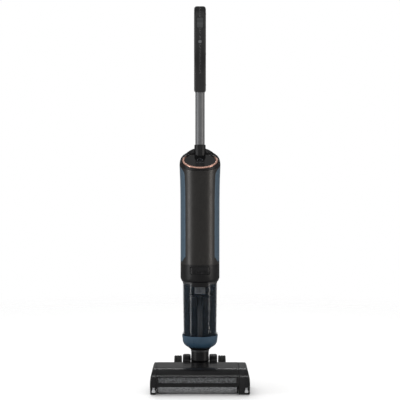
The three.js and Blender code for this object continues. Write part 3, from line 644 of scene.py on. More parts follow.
def buildDisplay():
    outer = ringShape["radiusX"]
    inner = outer - ringShape["width"]
    top, low = ringShape["proud"], -ringShape["sink"]
    curve = ringShape["round"]
    section = [(inner, low), (outer, low)]
    section += arc(outer - curve, top - curve, curve, 0, 90, 6)
    section += arc(inner + curve, top - curve, curve, 90, 180, 6)
    tubeHole = rod("hole", socketShape["radius"] + gap, 600, 740, centre=(0, socketShape["y"], 0))
    trim = cut(ontoFace(spun("accentRing", section, 144)), copyOf(tubeHole))
    finishPiece(trim, "body", ["accent_ring"], roseTrim)

    radius, curve = inner - gap, 0.9
    rounded = arc(radius - curve, -curve, curve, 0, 90, 5)
    lens = [(0, low), (radius, low), (radius, -curve)] + rounded + [(0, 0)]
    glass = cut(ontoFace(spun("displayPanel", lens, 144)), tubeHole)
    finishPiece(glass, "body", ["display_panel"], displayGlass)

    # plain marks behind the lens: a charge ring and three level bars
    radius, low, thick = markShape["ring"], markShape["lift"], markShape["thick"]
    inside = radius - markShape["line"]
    loop = spun("chargeRing", [(inside, low), (radius, low), (radius, thick), (inside, thick)], 64)
    for vert in loop.data.vertices:
        vert.co.y += markShape["ringY"]
    finishPiece(ontoFace(loop), "body", [], printedInk)
    bars = None
    for i in (-1, 0, 1):
        x, y = i * markShape["barPitch"], markShape["ringY"] - markShape["barDrop"]
        points = roundedRect(x, y, markShape["bar"] / 2, markShape["barHalfHeight"], markShape["barRound"])
        bar = prism("levelBars", points, "Z", low, thick)
        bars = join(bars, bar) if bars else bar
    finishPiece(ontoFace(bars), "body", [], printedInk)


bandShape = {"bottom": 306, "chamferTop": 316, "top": 356, "radius": 56.2, "wall": 3}
recessShape = {
    "half": 28.6, "bottom": 328.8, "top": 351.4, "corner": 5, "padInner": 51.4, "padOuter": 54,
    "grooves": 3, "firstGroove": 4, "groovePitch": 3, "grooveFloor": 53.7, "grooveMargin": 7,
}
tongueShape = {"half": 23, "bottom": 293, "inner": 50.2, "outer": 55.6, "corner": 6}


def buildBand():
    bottom, chamferTop, top, radius, wall = bandShape.values()
    inner = radius - wall
    sleeve = [(50.5, bottom), (52.2, bottom), (radius, chamferTop), (radius, top), (inner, top),
              (inner, chamferTop + 1), (50.5, bottom + 5)]
    band = deepen(spun("lowerBand", sleeve, bodyShape["steps"]))
    half, low, high, corner = (recessShape[key] for key in ("half", "bottom", "top", "corner"))
    middle, tall = (low + high) / 2, (high - low) / 2
    cut(band, prism("recess", roundedRect(0, middle, half, tall, corner), "Y", -60, -40))
    roundEdges(band, 0.7, 3, clamp=False)
    join(band, block(-37.5, 37.5, -40, -38, 325, 354))
    finishPiece(band, "body", ["lower_band"], blackAbs)

    padInner, padOuter = recessShape["padInner"], recessShape["padOuter"]
    padSection = [(padInner, low), (padOuter, low), (padOuter, high), (padInner, high)]
    pad = spun("releaseButton", padSection, bodyShape["steps"])
    outline = roundedRect(0, middle, half - gap, tall - gap, corner - gap)
    keep(pad, prism("pad", outline, "Y", -60, -30))
    for i in range(recessShape["grooves"]):  # fine grooves that stop a finger slipping
        z = low + recessShape["firstGroove"] + recessShape["groovePitch"] * i
        groove = grooveTool(z, recessShape["grooveFloor"], padOuter + 1, 0.3, 0.6, bodyShape["steps"])
        reach = half - recessShape["grooveMargin"]
        cut(pad, keep(groove, block(-reach, reach, -60, 0, 300, 400)))
    roundEdges(pad, 0.5, 2, clamp=False)
    finishPiece(pad, "release_button", ["tank_release_button"], glossAbs)

    shape = tongueShape
    lidTop = bottom - gap
    ring = spun("latchTongue", [(shape["inner"], shape["bottom"]), (shape["outer"] - 0.4, shape["bottom"]),
                                (shape["outer"], lidTop), (shape["inner"], lidTop)], bodyShape["steps"])
    outline = roundedRect(0, lidTop, shape["half"], lidTop - shape["bottom"], shape["corner"])
    keep(ring, prism("tongue", outline, "Y", -60, 0))
    roundEdges(ring, 0.8, 3, clamp=False)
    finishPiece(ring, "dirty_tank", ["latch_tongue"], blackAbs)


# dirty-water tank

tankShape = {
    "flatBack": 22.2, "lip": 50.4, "lipBottom": 151, "lipTop": 157, "low": (47.6, 161), "high": (49.7, 300),
    "wall": 2, "steps": 144,
}
cupShape = {"bottom": 114.8, "centre": (28, 137), "arc": 22.2, "rim": (51.8, 150.5), "wall": 2.2}
filterShape = {
    "y": -18, "bottom": 272, "top": 295.6, "radius": 15.5, "pleats": 30, "depth": 1.6, "rim": 3.2,
    "bar": (1.6, 13),  # half width and half length of the pull bar underneath
}
pipeShape = {"y": 6, "outer": 7, "inner": 5.6, "bottom": 121.4, "top": 262}
floatShape = {
    "half": 33, "front": -24, "back": 19.4, "bottom": 232, "top": 262, "round": 39, "slotHalf": 8.6,
    "hollow": {"x": 21, "y": -4, "halfX": 7.5, "halfY": 10, "corner": 2, "depth": 2.5},
}


def inFrontOf(y):
    return block(-90, 90, -90, y, 0, 760)


def buildTank():
    shape, wall, back = tankShape, tankShape["wall"], tankShape["flatBack"]
    lowRadius, lowZ = shape["low"]
    highRadius, highZ = shape["high"]
    lip = shape["lip"]
    outside = [(0, 119), (24, 119)] + arc(28, 137.5, 18.2, -75, 0, 10) + [
        (47, 150.4), (lip - 0.6, 151), (lip, 151.6), (lip, 156.4), (lip - 0.6, 157),
        (lowRadius + 0.8, 158.4), (lowRadius, lowZ), (highRadius, highZ), (0, highZ)]
    inside = [(0, 121), (24, 121)] + arc(28, 137.5, 16.2, -75, 0, 10) + [
        (lowRadius - wall, lowZ), (highRadius - wall, highZ + 1), (0, highZ + 1)]
    jar = keep(deepen(spun("dirtyTank", outside, shape["steps"])), inFrontOf(back))
    cut(jar, keep(deepen(spun("inside", inside, shape["steps"])), inFrontOf(back - wall)))
    roundEdges(jar, 0.5, 2, 50, clamp=False)
    finishPiece(jar, "dirty_tank", ["dirty_tank"], smokedClear)

    centreR, centreZ = cupShape["centre"]
    rimRadius, rimZ = cupShape["rim"]
    wall = cupShape["wall"]
    outer = [(0, cupShape["bottom"])] + arc(centreR, centreZ, cupShape["arc"], -90, 0, 12)
    outer += [(rimRadius, rimZ - 0.5), (rimRadius - 0.4, rimZ)]
    inner = arc(centreR, centreZ, cupShape["arc"] - wall, 0, -90, 12) + [(0, cupShape["bottom"] + wall)]
    cup = deepen(spun("tankBaseCup", outer + [(rimRadius - wall, rimZ)] + inner, shape["steps"]))
    keep(cup, inFrontOf(back))
    roundEdges(cup, 0.4, 2, 50, clamp=False)
    finishPiece(cup, "dirty_tank", ["tank_base_cup"], deepBlueAbs)

    lidTop = bandShape["bottom"] - gap
    over = keep(deepen(rod("tankLid", highRadius, highZ + gap, lidTop, steps=144)), inFrontOf(back))
    plugBack = back - shape["wall"] - gap
    plug = keep(deepen(rod("plug", highRadius - 2.4, 296, highZ + 1, steps=144)), inFrontOf(plugBack))
    seat = deepen(grooveTool(296.3, highRadius - 3, highRadius, 1.3, 1.3, 96))  # where the seal sits
    join(over, cut(plug, seat))
    roundEdges(over, 0.5, 2, clamp=False)
    finishPiece(over, "dirty_tank", ["tank_lid"], greyAbs)

    shape = filterShape
    count = shape["pleats"] * 2
    radii = [shape["radius"] - (shape["depth"] if i % 2 else 0) for i in range(count)]
    pleats = [(r * math.cos(math.tau * i / count), shape["y"] + r * math.sin(math.tau * i / count))
              for i, r in enumerate(radii)]
    paper = prism("tankFilter", pleats, "Z", shape["bottom"] + 3, shape["top"] - 3)
    rim = shape["rim"]
    for low, high in ((shape["bottom"], shape["bottom"] + rim), (shape["top"] - rim, shape["top"])):
        join(paper, rod("rim", shape["radius"], low, high, centre=(0, shape["y"], 0)))
    half, reach = shape["bar"]
    y, bottom = shape["y"], shape["bottom"]
    join(paper, block(-half, half, y - reach, y + reach, bottom - 0.8, bottom + 1))
    roundEdges(paper, 0.3, 2, 50, clamp=False)
    finishPiece(paper, "dirty_tank", ["tank_filter"], filterPaper)

    shape = pipeShape
    rim = shape["outer"] + 0.8
    inner, outer, low, high = (shape[key] for key in ("inner", "outer", "bottom", "top"))
    pipe = [(inner, low), (outer + 1.2, low), (outer, low + 8), (outer, high - 5), (rim, high - 3.5),
            (rim, high - 0.6), (rim - 0.6, high), (inner, high)]
    stand = spun("standpipe", pipe, 64, centre=(0, shape["y"], 0))
    finishPiece(stand, "dirty_tank", ["standpipe"], greyAbs)

    shape = floatShape
    blockPart = keep(
        block(-shape["half"], shape["half"], shape["front"], shape["back"], shape["bottom"], shape["top"]),
        rod("round", shape["round"], shape["bottom"] - 1, shape["top"] + 1, steps=96),
    )
    slotHalf, low, high = shape["slotHalf"], shape["bottom"] - 2, shape["top"] + 2
    cut(blockPart, block(-slotHalf, slotHalf, -30, pipeShape["y"], low, high))
    cut(blockPart, rod("slot", slotHalf, low, high, centre=(0, pipeShape["y"], 0)))
    blockPart.name = "floatBlock"
    roundEdges(blockPart, 1.6, 4, 50)
    hollow = shape["hollow"]
    for x in (-hollow["x"], hollow["x"]):  # a hollow in each side's top
        outline = roundedRect(x, hollow["y"], hollow["halfX"], hollow["halfY"], hollow["corner"])
        cut(blockPart, prism("hollow", outline, "Z", shape["top"] - hollow["depth"], shape["top"] + 1))
    finishPiece(blockPart, "float", ["float"], blackAbs)


# base, spine and neck

neckShape = {
    "y": 12, "radius": 25.5, "bottom": 75.5, "top": 100, "airway": 14,
    "folds": (82, 88, 94), "foldDepth": 0.7,  # folds of the flexible neck cover, seen as grooves
}
hingeShape = {"y": 30, "z": 58, "pin": 6, "barrel": 25, "lug": 31, "half": 26}
shelfShape = {"bottom": 108.4, "top": 114.4, "radius": 34, "bottomRadius": 27}
spineShape = {
    "flat": 28, "round": 22, "bottom": 114.8, "top": 350, "duct": (0, 43, 13), "ductBottom": 142,
    "grooves": 3, "firstGroove": 300, "groovePitch": 9, "grooveFloor": 49.2, "grooveHalfWidth": 30,
}


def buildBase():
    airway = rod("airway", 10, 100, 120, centre=(0, neckShape["y"], 0))
    bottom, top = shelfShape["bottom"], shelfShape["top"]
    bowl = [(0, bottom), (shelfShape["bottomRadius"], bottom), (shelfShape["radius"], top), (0, top)]
    shelf = cut(deepen(spun("baseShelf", bowl, 144)), airway)
    roundEdges(shelf, 0.9, 3, 50, clamp=False)
    finishPiece(shelf, "body", ["base_shelf"], blackAbs)

    flat, curve, foot = spineShape["flat"], spineShape["round"], spineShape["bottom"]
    side = [(0, foot)] + arc(flat, foot + curve, curve, -90, 0, 12)
    post = deepen(spun("rearSpine", side + [(flat + curve, spineShape["top"]), (0, spineShape["top"])], 144))
    keep(post, block(-90, 90, tankShape["flatBack"] + 0.6, 90, 0, 400))
    x, y, radius = spineShape["duct"]
    roundEdges(post, 1.2, 3, 50, clamp=False)
    cut(post, rod("duct", radius, spineShape["ductBottom"], 360, centre=(x, y, 0)))
    reach = spineShape["grooveHalfWidth"]
    for i in range(spineShape["grooves"]):  # shallow grip grooves across the back
        z = spineShape["firstGroove"] + spineShape["groovePitch"] * i
        groove = deepen(grooveTool(z, spineShape["grooveFloor"], 52, 1, 1.6, 144))
        cut(post, keep(groove, block(-reach, reach, 30, farSide, 0, 400)))
    finishPiece(post, "body", ["rear_spine"], blackAbs)

    half, pinBore = hingeShape["half"], hingeShape["pin"] + gap
    hingeAt = (0, hingeShape["y"], hingeShape["z"])
    yoke = rod("neckYoke", hingeShape["barrel"], -half, half, "X", hingeAt, 96)
    neckAt = (0, neckShape["y"], 0)
    post = rod("post", neckShape["radius"], neckShape["bottom"], neckShape["top"], centre=neckAt, steps=96)
    join(yoke, post)
    roundEdges(yoke, 1.0, 3, 40, clamp=False)
    cut(yoke, rod("pinBore", pinBore, -half - 2, half + 2, "X", hingeAt))
    cut(yoke, rod("airway", neckShape["airway"], 86, 102, centre=neckAt))
    for z in neckShape["folds"]:
        cut(yoke, grooveTool(z, neckShape["radius"] - neckShape["foldDepth"], 27, 0.4, 1.2, 96, neckAt))
    finishPiece(yoke, "neck", ["neck_yoke"], blackAbs)

    flange, collarTop = neckShape["top"] + gap, shelfShape["bottom"] - gap
    collar = [(10, 88), (13.6, 88), (13.6, flange), (25.9, flange), (26.5, flange + 0.6),
              (26.5, collarTop - 0.6), (25.9, collarTop), (10, collarTop)]
    turning = spun("swivelCollar", collar, 96, centre=neckAt)
    finishPiece(turning, "body", ["swivel_collar"], greyAbs)


# roller head

rollerAt = {"y": -94, "z": 34, "nap": 33.4, "core": 20.4}
coverShape = {
    "inner": 35.6, "outer": 37.98, "topAngle": 70, "windowTop": 29, "windowBottom": 1, "barBottom": -16,
}
deckShape = {"z": 73, "rear": 2, "foot": 10}
capShape = {
    "round": 3.4, "seam": 125, "seamWidth": 0.7, "seamDepth": 0.7, "slotHalf": 3.2, "slotFlare": 2.2,
    "lean": 9, "leanFrom": 34, "leanTo": 74, "leanBands": 16,
}


def rollerArc(radius, start, end, steps):  # angles count up from straight ahead
    return arc(rollerAt["y"], rollerAt["z"], radius, 180 - start, 180 - end, steps)


def capOutline(inset=0):
    deckZ, rear = deckShape["z"], deckShape["rear"]
    back = rear - inset
    return rollerArc(coverShape["outer"] - inset, -28, 90, 40) + [
        (-30, deckZ - inset), (-5, deckZ - 2 - inset), (back, deckZ - 9 - inset), (back, 8 + inset),
        (-55, 4 + inset), (-62, inset), (-118 + inset, inset)]


def buildHeadShells():
    chamber = span("head_housing")
    inner, outer, topAngle = coverShape["inner"], coverShape["outer"], coverShape["topAngle"]
    deckZ, rear, foot = deckShape["z"], deckShape["rear"], deckShape["foot"]
    wall = outer - inner
    outline = rollerArc(outer, topAngle + 0.6, 90, 8) + [
        (-30, deckZ), (-9, deckZ - 1), (-5, deckZ - 2), (-2, deckZ - 4), (rear, deckZ - 9), (rear, foot),
        (rear - wall, foot), (rear - wall, deckZ - 10), (-7, deckZ - 4.6), (-30, deckZ - 2.6)]
    outline += rollerArc(outer, 112, 215, 24) + rollerArc(inner, 215, topAngle + 0.6, 36)
    housing = prism("headHousing", outline, "X", chamber.x0, chamber.x1)
    cut(housing, block(-18, 18, -4, 6, 15, 33))
    roundEdges(housing, 0.5, 2, 30, clamp=False)
    finishPiece(housing, "head", ["head_housing"], glossAbs, 30)

    edge = span("roller_cover")
    low, high = coverShape["windowBottom"], coverShape["windowTop"]
    frameOutline = rollerArc(outer, coverShape["barBottom"], topAngle, 40)
    frameOutline += rollerArc(inner, topAngle, coverShape["barBottom"], 40)
    coverPart = prism("rollerCover", frameOutline, "X", edge.x0, edge.x1)
    glass = span("cover_window")
    opening = rollerArc(outer + 3, low, high, 14) + rollerArc(inner - 3, high, low, 14)
    cut(coverPart, prism("opening", opening, "X", glass.x0 - gap, glass.x1 + gap))
    roundEdges(coverPart, 0.8, 3, 30, clamp=False)
    finishPiece(coverPart, "roller_cover", ["roller_cover"], glossAbs, 30)
    low, high = low + 0.7, high - 0.7
    lens = rollerArc(outer - 0.3, low, high, 14) + rollerArc(inner + 0.2, high, low, 14)
    window = roundEdges(prism("coverWindow", lens, "X", glass.x0, glass.x1), 0.4, 2, 30, clamp=False)
    finishPiece(window, "roller_cover", ["cover_window"], paleClear, 30)


def leanIn(cap, innerX, outerX):  # the outer side of an end cap leans in towards the top
    low, high = capShape["leanFrom"], capShape["leanTo"]
    bm = bmesh.new()
    bm.from_mesh(cap.data)
    bands = capShape["leanBands"]
    for i in range(1, bands):  # cut into thin bands first, so each stays flat
        z = low + (high - low) * i / bands
        everything = bm.verts[:] + bm.edges[:] + bm.faces[:]
        bmesh.ops.bisect_plane(bm, geom=everything, plane_co=(0, 0, z), plane_no=(0, 0, 1))
    for vert in bm.verts:
        share = (vert.co.x - innerX) / (outerX - innerX)
        rise = max(0, vert.co.z - low) / (high - low)
        vert.co.x -= math.copysign(capShape["lean"] * share * rise ** 2, outerX)
    bm.to_mesh(cap.data)
    bm.free()
    return cap


def buildEndCaps():
    for side, node in ((-1, "end_cap_left"), (1, "end_cap_right")):
        ends = span(node)
        outerX = ends.x1 if side > 0 else ends.x0
        innerX = ends.x0 if side > 0 else ends.x1
        layers = roundedLayers(innerX, outerX, capShape["round"], 6)
        handed = "Right" if side > 0 else "Left"
        cap = leanIn(layered("endCap" + handed, capOutline(), layers), innerX, outerX)
        rollerNode = "corner_roller_" + handed.lower()
        roller = span(rollerNode)
        radius = (roller.x1 - roller.x0) / 2
        centre = ((roller.x0 + roller.x1) / 2, (roller.y0 + roller.y1) / 2, 0)
        cut(cap, rod("pocket", radius + 0.6, roller.z0 - gap, roller.z1 + gap, centre=centre))
        slotHalf = capShape["slotHalf"]
        low, high = roller.z0 - gap, roller.z1 + gap
        mouthHalf = slotHalf + capShape["slotFlare"]
        slot = [(centre[0] - mouthHalf, -145), (centre[0] + mouthHalf, -145),
                (centre[0] + slotHalf, centre[1]), (centre[0] - slotHalf, centre[1])]
        cut(cap, prism("slot", slot, "Z", low, high))
        if side > 0:
            hollow = prism("hollow", capOutline(3), "X", ends.x0 - 1, 126)
            cut(cap, keep(hollow, block(90, 140, -112, 10, 8, 90)))
            depth, width = capShape["seamDepth"], capShape["seamWidth"]
            ring = prism("ring", capOutline(-3), "X", capShape["seam"], capShape["seam"] + width)
            cut(cap, cut(ring, prism("core", capOutline(depth), "X", 120, 130)))
        else:
            bearingAt = (0, rollerAt["y"], rollerAt["z"])
            cut(cap, rod("bearing", 5.6, -131, -120, "X", bearingAt))
        finishPiece(cap, "head", [node], glossAbs, 30)

        height = roller.z1 - roller.z0
        profile = [(0, 0), (radius - 1, 0), (radius, 1)]
        floor = radius - 0.6
        for z in (height * 0.33, height * 0.66):  # two shallow grooves round it
            profile += [(radius, z - 0.8), (floor, z - 0.4), (floor, z + 0.4), (radius, z + 0.8)]
        profile += [(radius, height - 1), (radius - 1, height), (0, height)]
        wheel = spun("cornerRoller" + handed, profile, 48, centre=(centre[0], centre[1], roller.z0))
        finishPiece(wheel, rollerNode, [rollerNode], paleNylon)


napShape = {"rows": 190, "steps": 110, "tuft": 1.1, "swirl": 3, "pitch": 0.055, "coarse": 0.34, "fine": 1.1}


def buildRoller():
    nap = span("roller_nap")
    outer, inner = rollerAt["nap"], rollerAt["core"]
    rows = napShape["rows"]
    profile = [(inner, nap.x0), (outer - 2, nap.x0), (outer - 0.6, nap.x0 + 0.6)]
    profile += [(outer, nap.x0 + 1.6 + (nap.x1 - nap.x0 - 3.2) * i / rows) for i in range(rows + 1)]
    profile += [(outer - 0.6, nap.x1 - 0.6), (outer - 2, nap.x1), (inner, nap.x1)]
    pile = spun("rollerNap", profile, napShape["steps"], "X")
    for vert in pile.data.vertices:  # tufts laid in a slow spiral
        x, y, z = vert.co
        reach = math.hypot(y, z)
        if reach < outer - 1:
            continue
        swirl = 0.5 + 0.5 * math.sin(napShape["swirl"] * math.atan2(z, y) + x * napShape["pitch"])
        clumps = 0.5 + 0.5 * noise.noise(vert.co * napShape["coarse"])
        tips = 0.5 + 0.5 * noise.noise(vert.co * napShape["fine"])
        sink = napShape["tuft"] * (0.2 * swirl + 0.45 * clumps + 0.35 * tips)
        scale = (reach - sink) / reach
        vert.co = (x, y * scale, z * scale)
    for vert in pile.data.vertices:
        vert.co += Vector((0, rollerAt["y"], rollerAt["z"]))
    finishPiece(pile, "roller", ["roller_nap"], napCloth, 60, False)


# wheels and hinge lugs

axleShape = {"y": 80, "z": 38, "radius": 4}
lugShape = {"inner": 27, "outer": 50, "round": 5, "boss": 11}
wheelShape = {
    "inner": 54, "outer": 76, "radius": 38, "hub": 32.6, "groove": 1.2,
    "pockets": 6, "pocketRing": 18, "pocketRadius": 3.6,
}


def buildWheels():
    rear = deckShape["rear"] + gap
    outline = [(rear, 9.4), (84, 9.4), (88, 15), (axleShape["y"] + lugShape["boss"], 26)]
    outline += arc(axleShape["y"], axleShape["z"], lugShape["boss"], 0, 70, 10)
    outline += arc(hingeShape["y"], hingeShape["z"], hingeShape["lug"], 40, 154, 28)
    for side in (-1, 1):
        name = "Right" if side > 0 else "Left"
        inner, outer = lugShape["inner"], lugShape["outer"]
        middleX = side * (inner + outer) / 2
        layers = roundedLayers(middleX, side * inner, lugShape["round"])[:0:-1]
        layers += roundedLayers(middleX, side * outer, lugShape["round"])
        lug = layered("hingeLug" + name, outline, layers)
        cut(lug, rod("bore", hingeShape["pin"] + gap, -60, 60, "X", (0, hingeShape["y"], hingeShape["z"])))
        cut(lug, rod("bore", axleShape["radius"] + gap, -60, 60, "X", (0, axleShape["y"], axleShape["z"])))
        finishPiece(lug, "head", ["hinge_lug_" + name.lower()], blackAbs, 30)

        shape = wheelShape
        at = (0, axleShape["y"], axleShape["z"])
        a, b, radius, hub = (side * shape["inner"], side * shape["outer"], shape["radius"], shape["hub"])
        tread = [(hub + gap, a), (radius - 2.4, a), (radius - 0.7, a + 0.7 * side), (radius, a + 2.4 * side)]
        for along in (0.33, 0.67):
            x = a + (b - a) * along
            floor = radius - shape["groove"]
            tread += [(radius, x - 1.1 * side), (floor, x - 0.7 * side),
                      (floor, x + 0.7 * side), (radius, x + 1.1 * side)]
        tread += [(radius, b - 2.4 * side), (radius - 0.7, b - 0.7 * side), (radius - 2.4, b), (hub + gap, b)]
        tyre = spun("rearTyre" + name, tread, 96, "X", at)
        wheelBody = "rear_wheel_" + name.lower()
        finishPiece(tyre, wheelBody, ["rear_tyre_" + name.lower()], tyreRubber, 50)

        bore = axleShape["radius"] + gap
        middle = (a + b) / 2
        face, dish = b - side, middle + 3 * side
        hubSide = [(bore, a + side), (hub - 0.8, a + side), (hub, a + 1.8 * side), (hub, b - 1.8 * side),
                   (hub - 0.8, face), (26, face), (24, dish), (12, dish), (11, face), (bore, face)]
        wheel = spun("rearWheel" + name, hubSide, 96, "X", at)
        for i in range(shape["pockets"]):
            a0 = math.tau * i / shape["pockets"]
            low, high = sorted((middle - side, middle + 12 * side))
            ring = shape["pocketRing"]
            pocketAt = (0, at[1] + ring * math.cos(a0), at[2] + ring * math.sin(a0))
            cut(wheel, rod("pocket", shape["pocketRadius"], low, high, "X", pocketAt, 32))
        finishPiece(wheel, wheelBody, [wheelBody], greyAbs, 40)


# clean-water tank

cleanShape = {"front": 40.4, "bottom": 385, "top": 600, "wall": 2.5}
fillerShape = {"z": 584, "radius": 10, "flange": 12.6, "mouthY": 74.8, "depth": 9}


def buildCleanTank():
    shape, wall = cleanShape, cleanShape["wall"]
    front, bottom, top = shape["front"], shape["bottom"], shape["top"]
    tank = keep(bodySolid(), block(-80, 80, front, 90, bottom, top))
    tank.name = "cleanTank"
    roundEdges(tank, 1.0, 3, 50, clamp=False)
    cut(tank, keep(bodySolid(wall), block(-80, 80, front + wall, 90, bottom + wall, top - wall)))
    z, mouthY, depth = fillerShape["z"], fillerShape["mouthY"], fillerShape["depth"]
    cut(tank, rod("mouth", fillerShape["radius"], -depth, 30, "Y", (0, mouthY, z)))
    for level in (425, 465, 505):  # plain level lines, raised a hair on the outside
        line = cut(keep(bodySolid(), block(-8, 8, 60, 90, level, level + 0.9)), bodySolid(0.6))
        join(tank, line)
    finishPiece(tank, "clean_tank", ["clean_tank"], darkClear)

    plug, flange = fillerShape["radius"] - gap, fillerShape["flange"]
    dished, rim = 2.2, 3.2  # heights of the dished middle and of the rim round it
    profile = [(0, -depth), (plug - 0.8, -depth), (plug, -depth + 0.8), (plug, 0), (flange - 0.5, 0),
               (flange, 0.5), (flange, dished), (flange - 1, rim), (8.6, rim), (8, dished), (0, dished)]
    cap = spun("fillerPlug", profile, 72, "Y", (0, mouthY, z))
    join(cap, prism("bar", roundedRect(0, z, 8.3, 1.6, 1.4), "Y", mouthY + 1, mouthY + rim))
    finishPiece(cap, "clean_tank_cap", ["clean_tank_cap"], deepBlueAbs)


# tube and handle

tubeShape = {"y": 30, "radius": 13.5, "bore": 12.2}
handleShape = {"half": 17, "bottom": 852, "top": 1100, "front": -15, "back": 70, "round": 7.4}
buttonShape = {
    "half": 9, "bottom": 1033, "top": 1063, "proud": 0.4, "corner": 4, "power": 4.6, "powerZ": 994,
}


def gripOutline():
    y, sleeve = tubeShape["y"], handleShape["half"]
    bottom, top, front, back = (handleShape[key] for key in ("bottom", "top", "front", "back"))
    points = [(y - sleeve, bottom), (y + sleeve, bottom), (y + sleeve, 908)]
    curveTo(points, (y + sleeve, 935), (back, 940), (back, 985))
    points.append((back, 1040))
    curveTo(points, (back, 1080), (55, top), (26, top))
    curveTo(points, (4, top), (front, 1092), (front, 1066))
    points.append((front, 985))
    curveTo(points, (front, 950), (y - sleeve, 940), (y - sleeve, 908))
    return points


def fingerOutline():
    points = [(14, 975)]
    curveTo(points, (14, 950), (30, 936), (36, 936), 10)
    curveTo(points, (46, 936), (52, 955), (52, 985), 10)
    points.append((52, 1040))
    curveTo(points, (52, 1062), (42, 1075), (30, 1075), 10)
    curveTo(points, (20, 1075), (14, 1068), (14, 1058), 8)
    return points


def buildHandle():
    tube = span("extension_tube")
    radius, bore, y = tubeShape["radius"], tubeShape["bore"], tubeShape["y"]
    wall = [(bore, tube.z0), (radius - 0.4, tube.z0), (radius, tube.z0 + 0.4),
            (radius, tube.z1), (bore, tube.z1)]
    pipe = spun("extensionTube", wall, 96, centre=(0, y, 0))
    finishPiece(pipe, "handle", ["extension_tube"], drawnAluminium)

    socket = span("tube_socket")
    outer, inner = socketShape["radius"], socketShape["bore"]
    low, high = socket.z0, socket.z1
    section = [(inner, low), (outer, low), (outer, high - 2.4), (outer - 0.6, high - 0.8),
               (outer - 1.4, high), (inner + 0.6, high), (inner, high - 0.8)]
    collar = spun("tubeSocket", section, 96, centre=(0, y, 0))
    flutes, ring = socketShape["flutes"], outer * socketShape["fluteRing"]
    for i in range(flutes):  # fluting round the collar
        a = math.tau * (i + 0.5) / flutes
        at = (ring * math.cos(a), y + ring * math.sin(a), 0)
        cut(collar, rod("flute", socketShape["fluteRadius"], high - 15, high - 4, centre=at, steps=16))
    finishPiece(collar, "body", ["tube_socket"], blackAbs)

    half, front = handleShape["half"], handleShape["front"]
    buttonMiddle = (buttonShape["bottom"] + buttonShape["top"]) / 2
    buttonTall = (buttonShape["top"] - buttonShape["bottom"]) / 2
    for name, outerX in (("Left", -half), ("Right", half)):
        splitX = math.copysign(gap / 2, outerX)
        layers = roundedLayers(splitX, outerX, handleShape["round"], 8)
        grip = layered("handleShell" + name, gripOutline(), layers)
        flare = [(x, -inset * 0.6) for x, inset in layers]
        beyond = math.copysign(2, outerX)
        flare = [(splitX - beyond, 0)] + flare + [(outerX + beyond, flare[-1][1])]
        cut(grip, layered("fingers", fingerOutline(), flare))
        corner = buttonShape["corner"] + gap
        pocket = roundedRect(0, buttonMiddle, buttonShape["half"] + gap, buttonTall + gap, corner)
        cut(grip, rod("bore", radius + gap, handleShape["bottom"] - 5, tube.z1 + gap, centre=(0, y, 0)))
        cut(grip, prism("pocket", pocket, "Y", front - 5, front + 7))
        powerAt = (0, front, buttonShape["powerZ"])
        cut(grip, rod("pocket", buttonShape["power"] + gap, -7, 7, "Y", powerAt, 48))
        finishPiece(grip, "handle", ["handle_shell_" + name.lower()], gripTpe, 30)

    # a thin strip in the joint between the halves, a little below their surface
    sunk, halfThick = 0.5, 0.15
    strip = prism("gripSeam", insetOutline(gripOutline(), sunk), "X", -halfThick, halfThick)
    cut(strip, prism("fingers", insetOutline(fingerOutline(), -sunk), "X", -1, 1))
    cut(strip, rod("bore", radius + gap, handleShape["bottom"] - 5, tube.z1 + gap, centre=(0, y, 0)))
    cut(strip, block(-1, 1, front - 5, front + 7, buttonShape["bottom"] - gap, buttonShape["top"] + gap))
    stud = buttonShape["power"] + gap
    cut(strip, block(-1, 1, front - 5, front + 7, buttonShape["powerZ"] - stud, buttonShape["powerZ"] + stud))
    finishPiece(strip, "handle", [], tyreRubber)

    face = front - buttonShape["proud"]
    outline = roundedRect(0, buttonMiddle, buttonShape["half"], buttonTall, buttonShape["corner"])
    rocker = roundEdges(prism("modeButton", outline, "Y", face, face + 5), 1.2, 4, 50)
    cut(rocker, rod("dimple", 22, -12, 12, "X", (0, face - 21.3, buttonMiddle), 96))
    finishPiece(rocker, "mode_button", ["mode_button"], greyAbs)

    power = buttonShape["power"]
    stud = [(0, 0), (power - 1.6, 0.5), (power - 0.5, 0.1), (power, 0.7), (power, 5), (0, 5)]
    dot = spun("powerButton", stud, 48, "Y", (0, face, buttonShape["powerZ"]))
    finishPiece(dot, "power_button", ["power_button"], greyNylon)


# screw heads in the back and in one side of the handle

screwShape = {
    "radius": 2.7, "height": 1.4, "recess": 1.25, "spine": (150, 285),
    "handle": ((30, 874), (-0.5, 960), (-0.5, 1075), (61, 1010)),  # y and z of each
}


def screwHead(name, along, at):
    radius, height = screwShape["radius"], screwShape["height"]
    profile = [(0, -2), (radius - 0.4, -2), (radius, 0), (radius - 0.5, height * 0.7),
               (radius - 1.3, height), (0, height)]
    head = spun(name, profile, 36, along, at)
    return cut(head, rod("recess", screwShape["recess"], height * 0.2, height + 1, along, at, 6))


def buildScrews():
    backY = (spineShape["flat"] + spineShape["round"]) * bodyShape["rearDepth"]
    for i, z in enumerate(screwShape["spine"]):
        head = screwHead(f"spineScrew{i + 1}", "Y", (0, backY - 0.6, z))
        finishPiece(head, "body", [], turnedSteel)
    side = handleShape["half"]
    for i, (y, z) in enumerate(screwShape["handle"]):
        head = screwHead(f"handleScrew{i + 1}", "X", (side - 0.9, y, z))
        finishPiece(head, "handle", [], turnedSteel)


buildBodyShells()
print("body shells made")
buildDisplay()
buildBand()
print("display and band made")
buildTank()
print("dirty tank made")
buildBase()
print("base and neck made")
buildHeadShells()
buildEndCaps()
buildRoller()
print("head made")
buildWheels()
buildCleanTank()
print("wheels and clean tank made")
buildHandle()
buildScrews()
print("handle made")

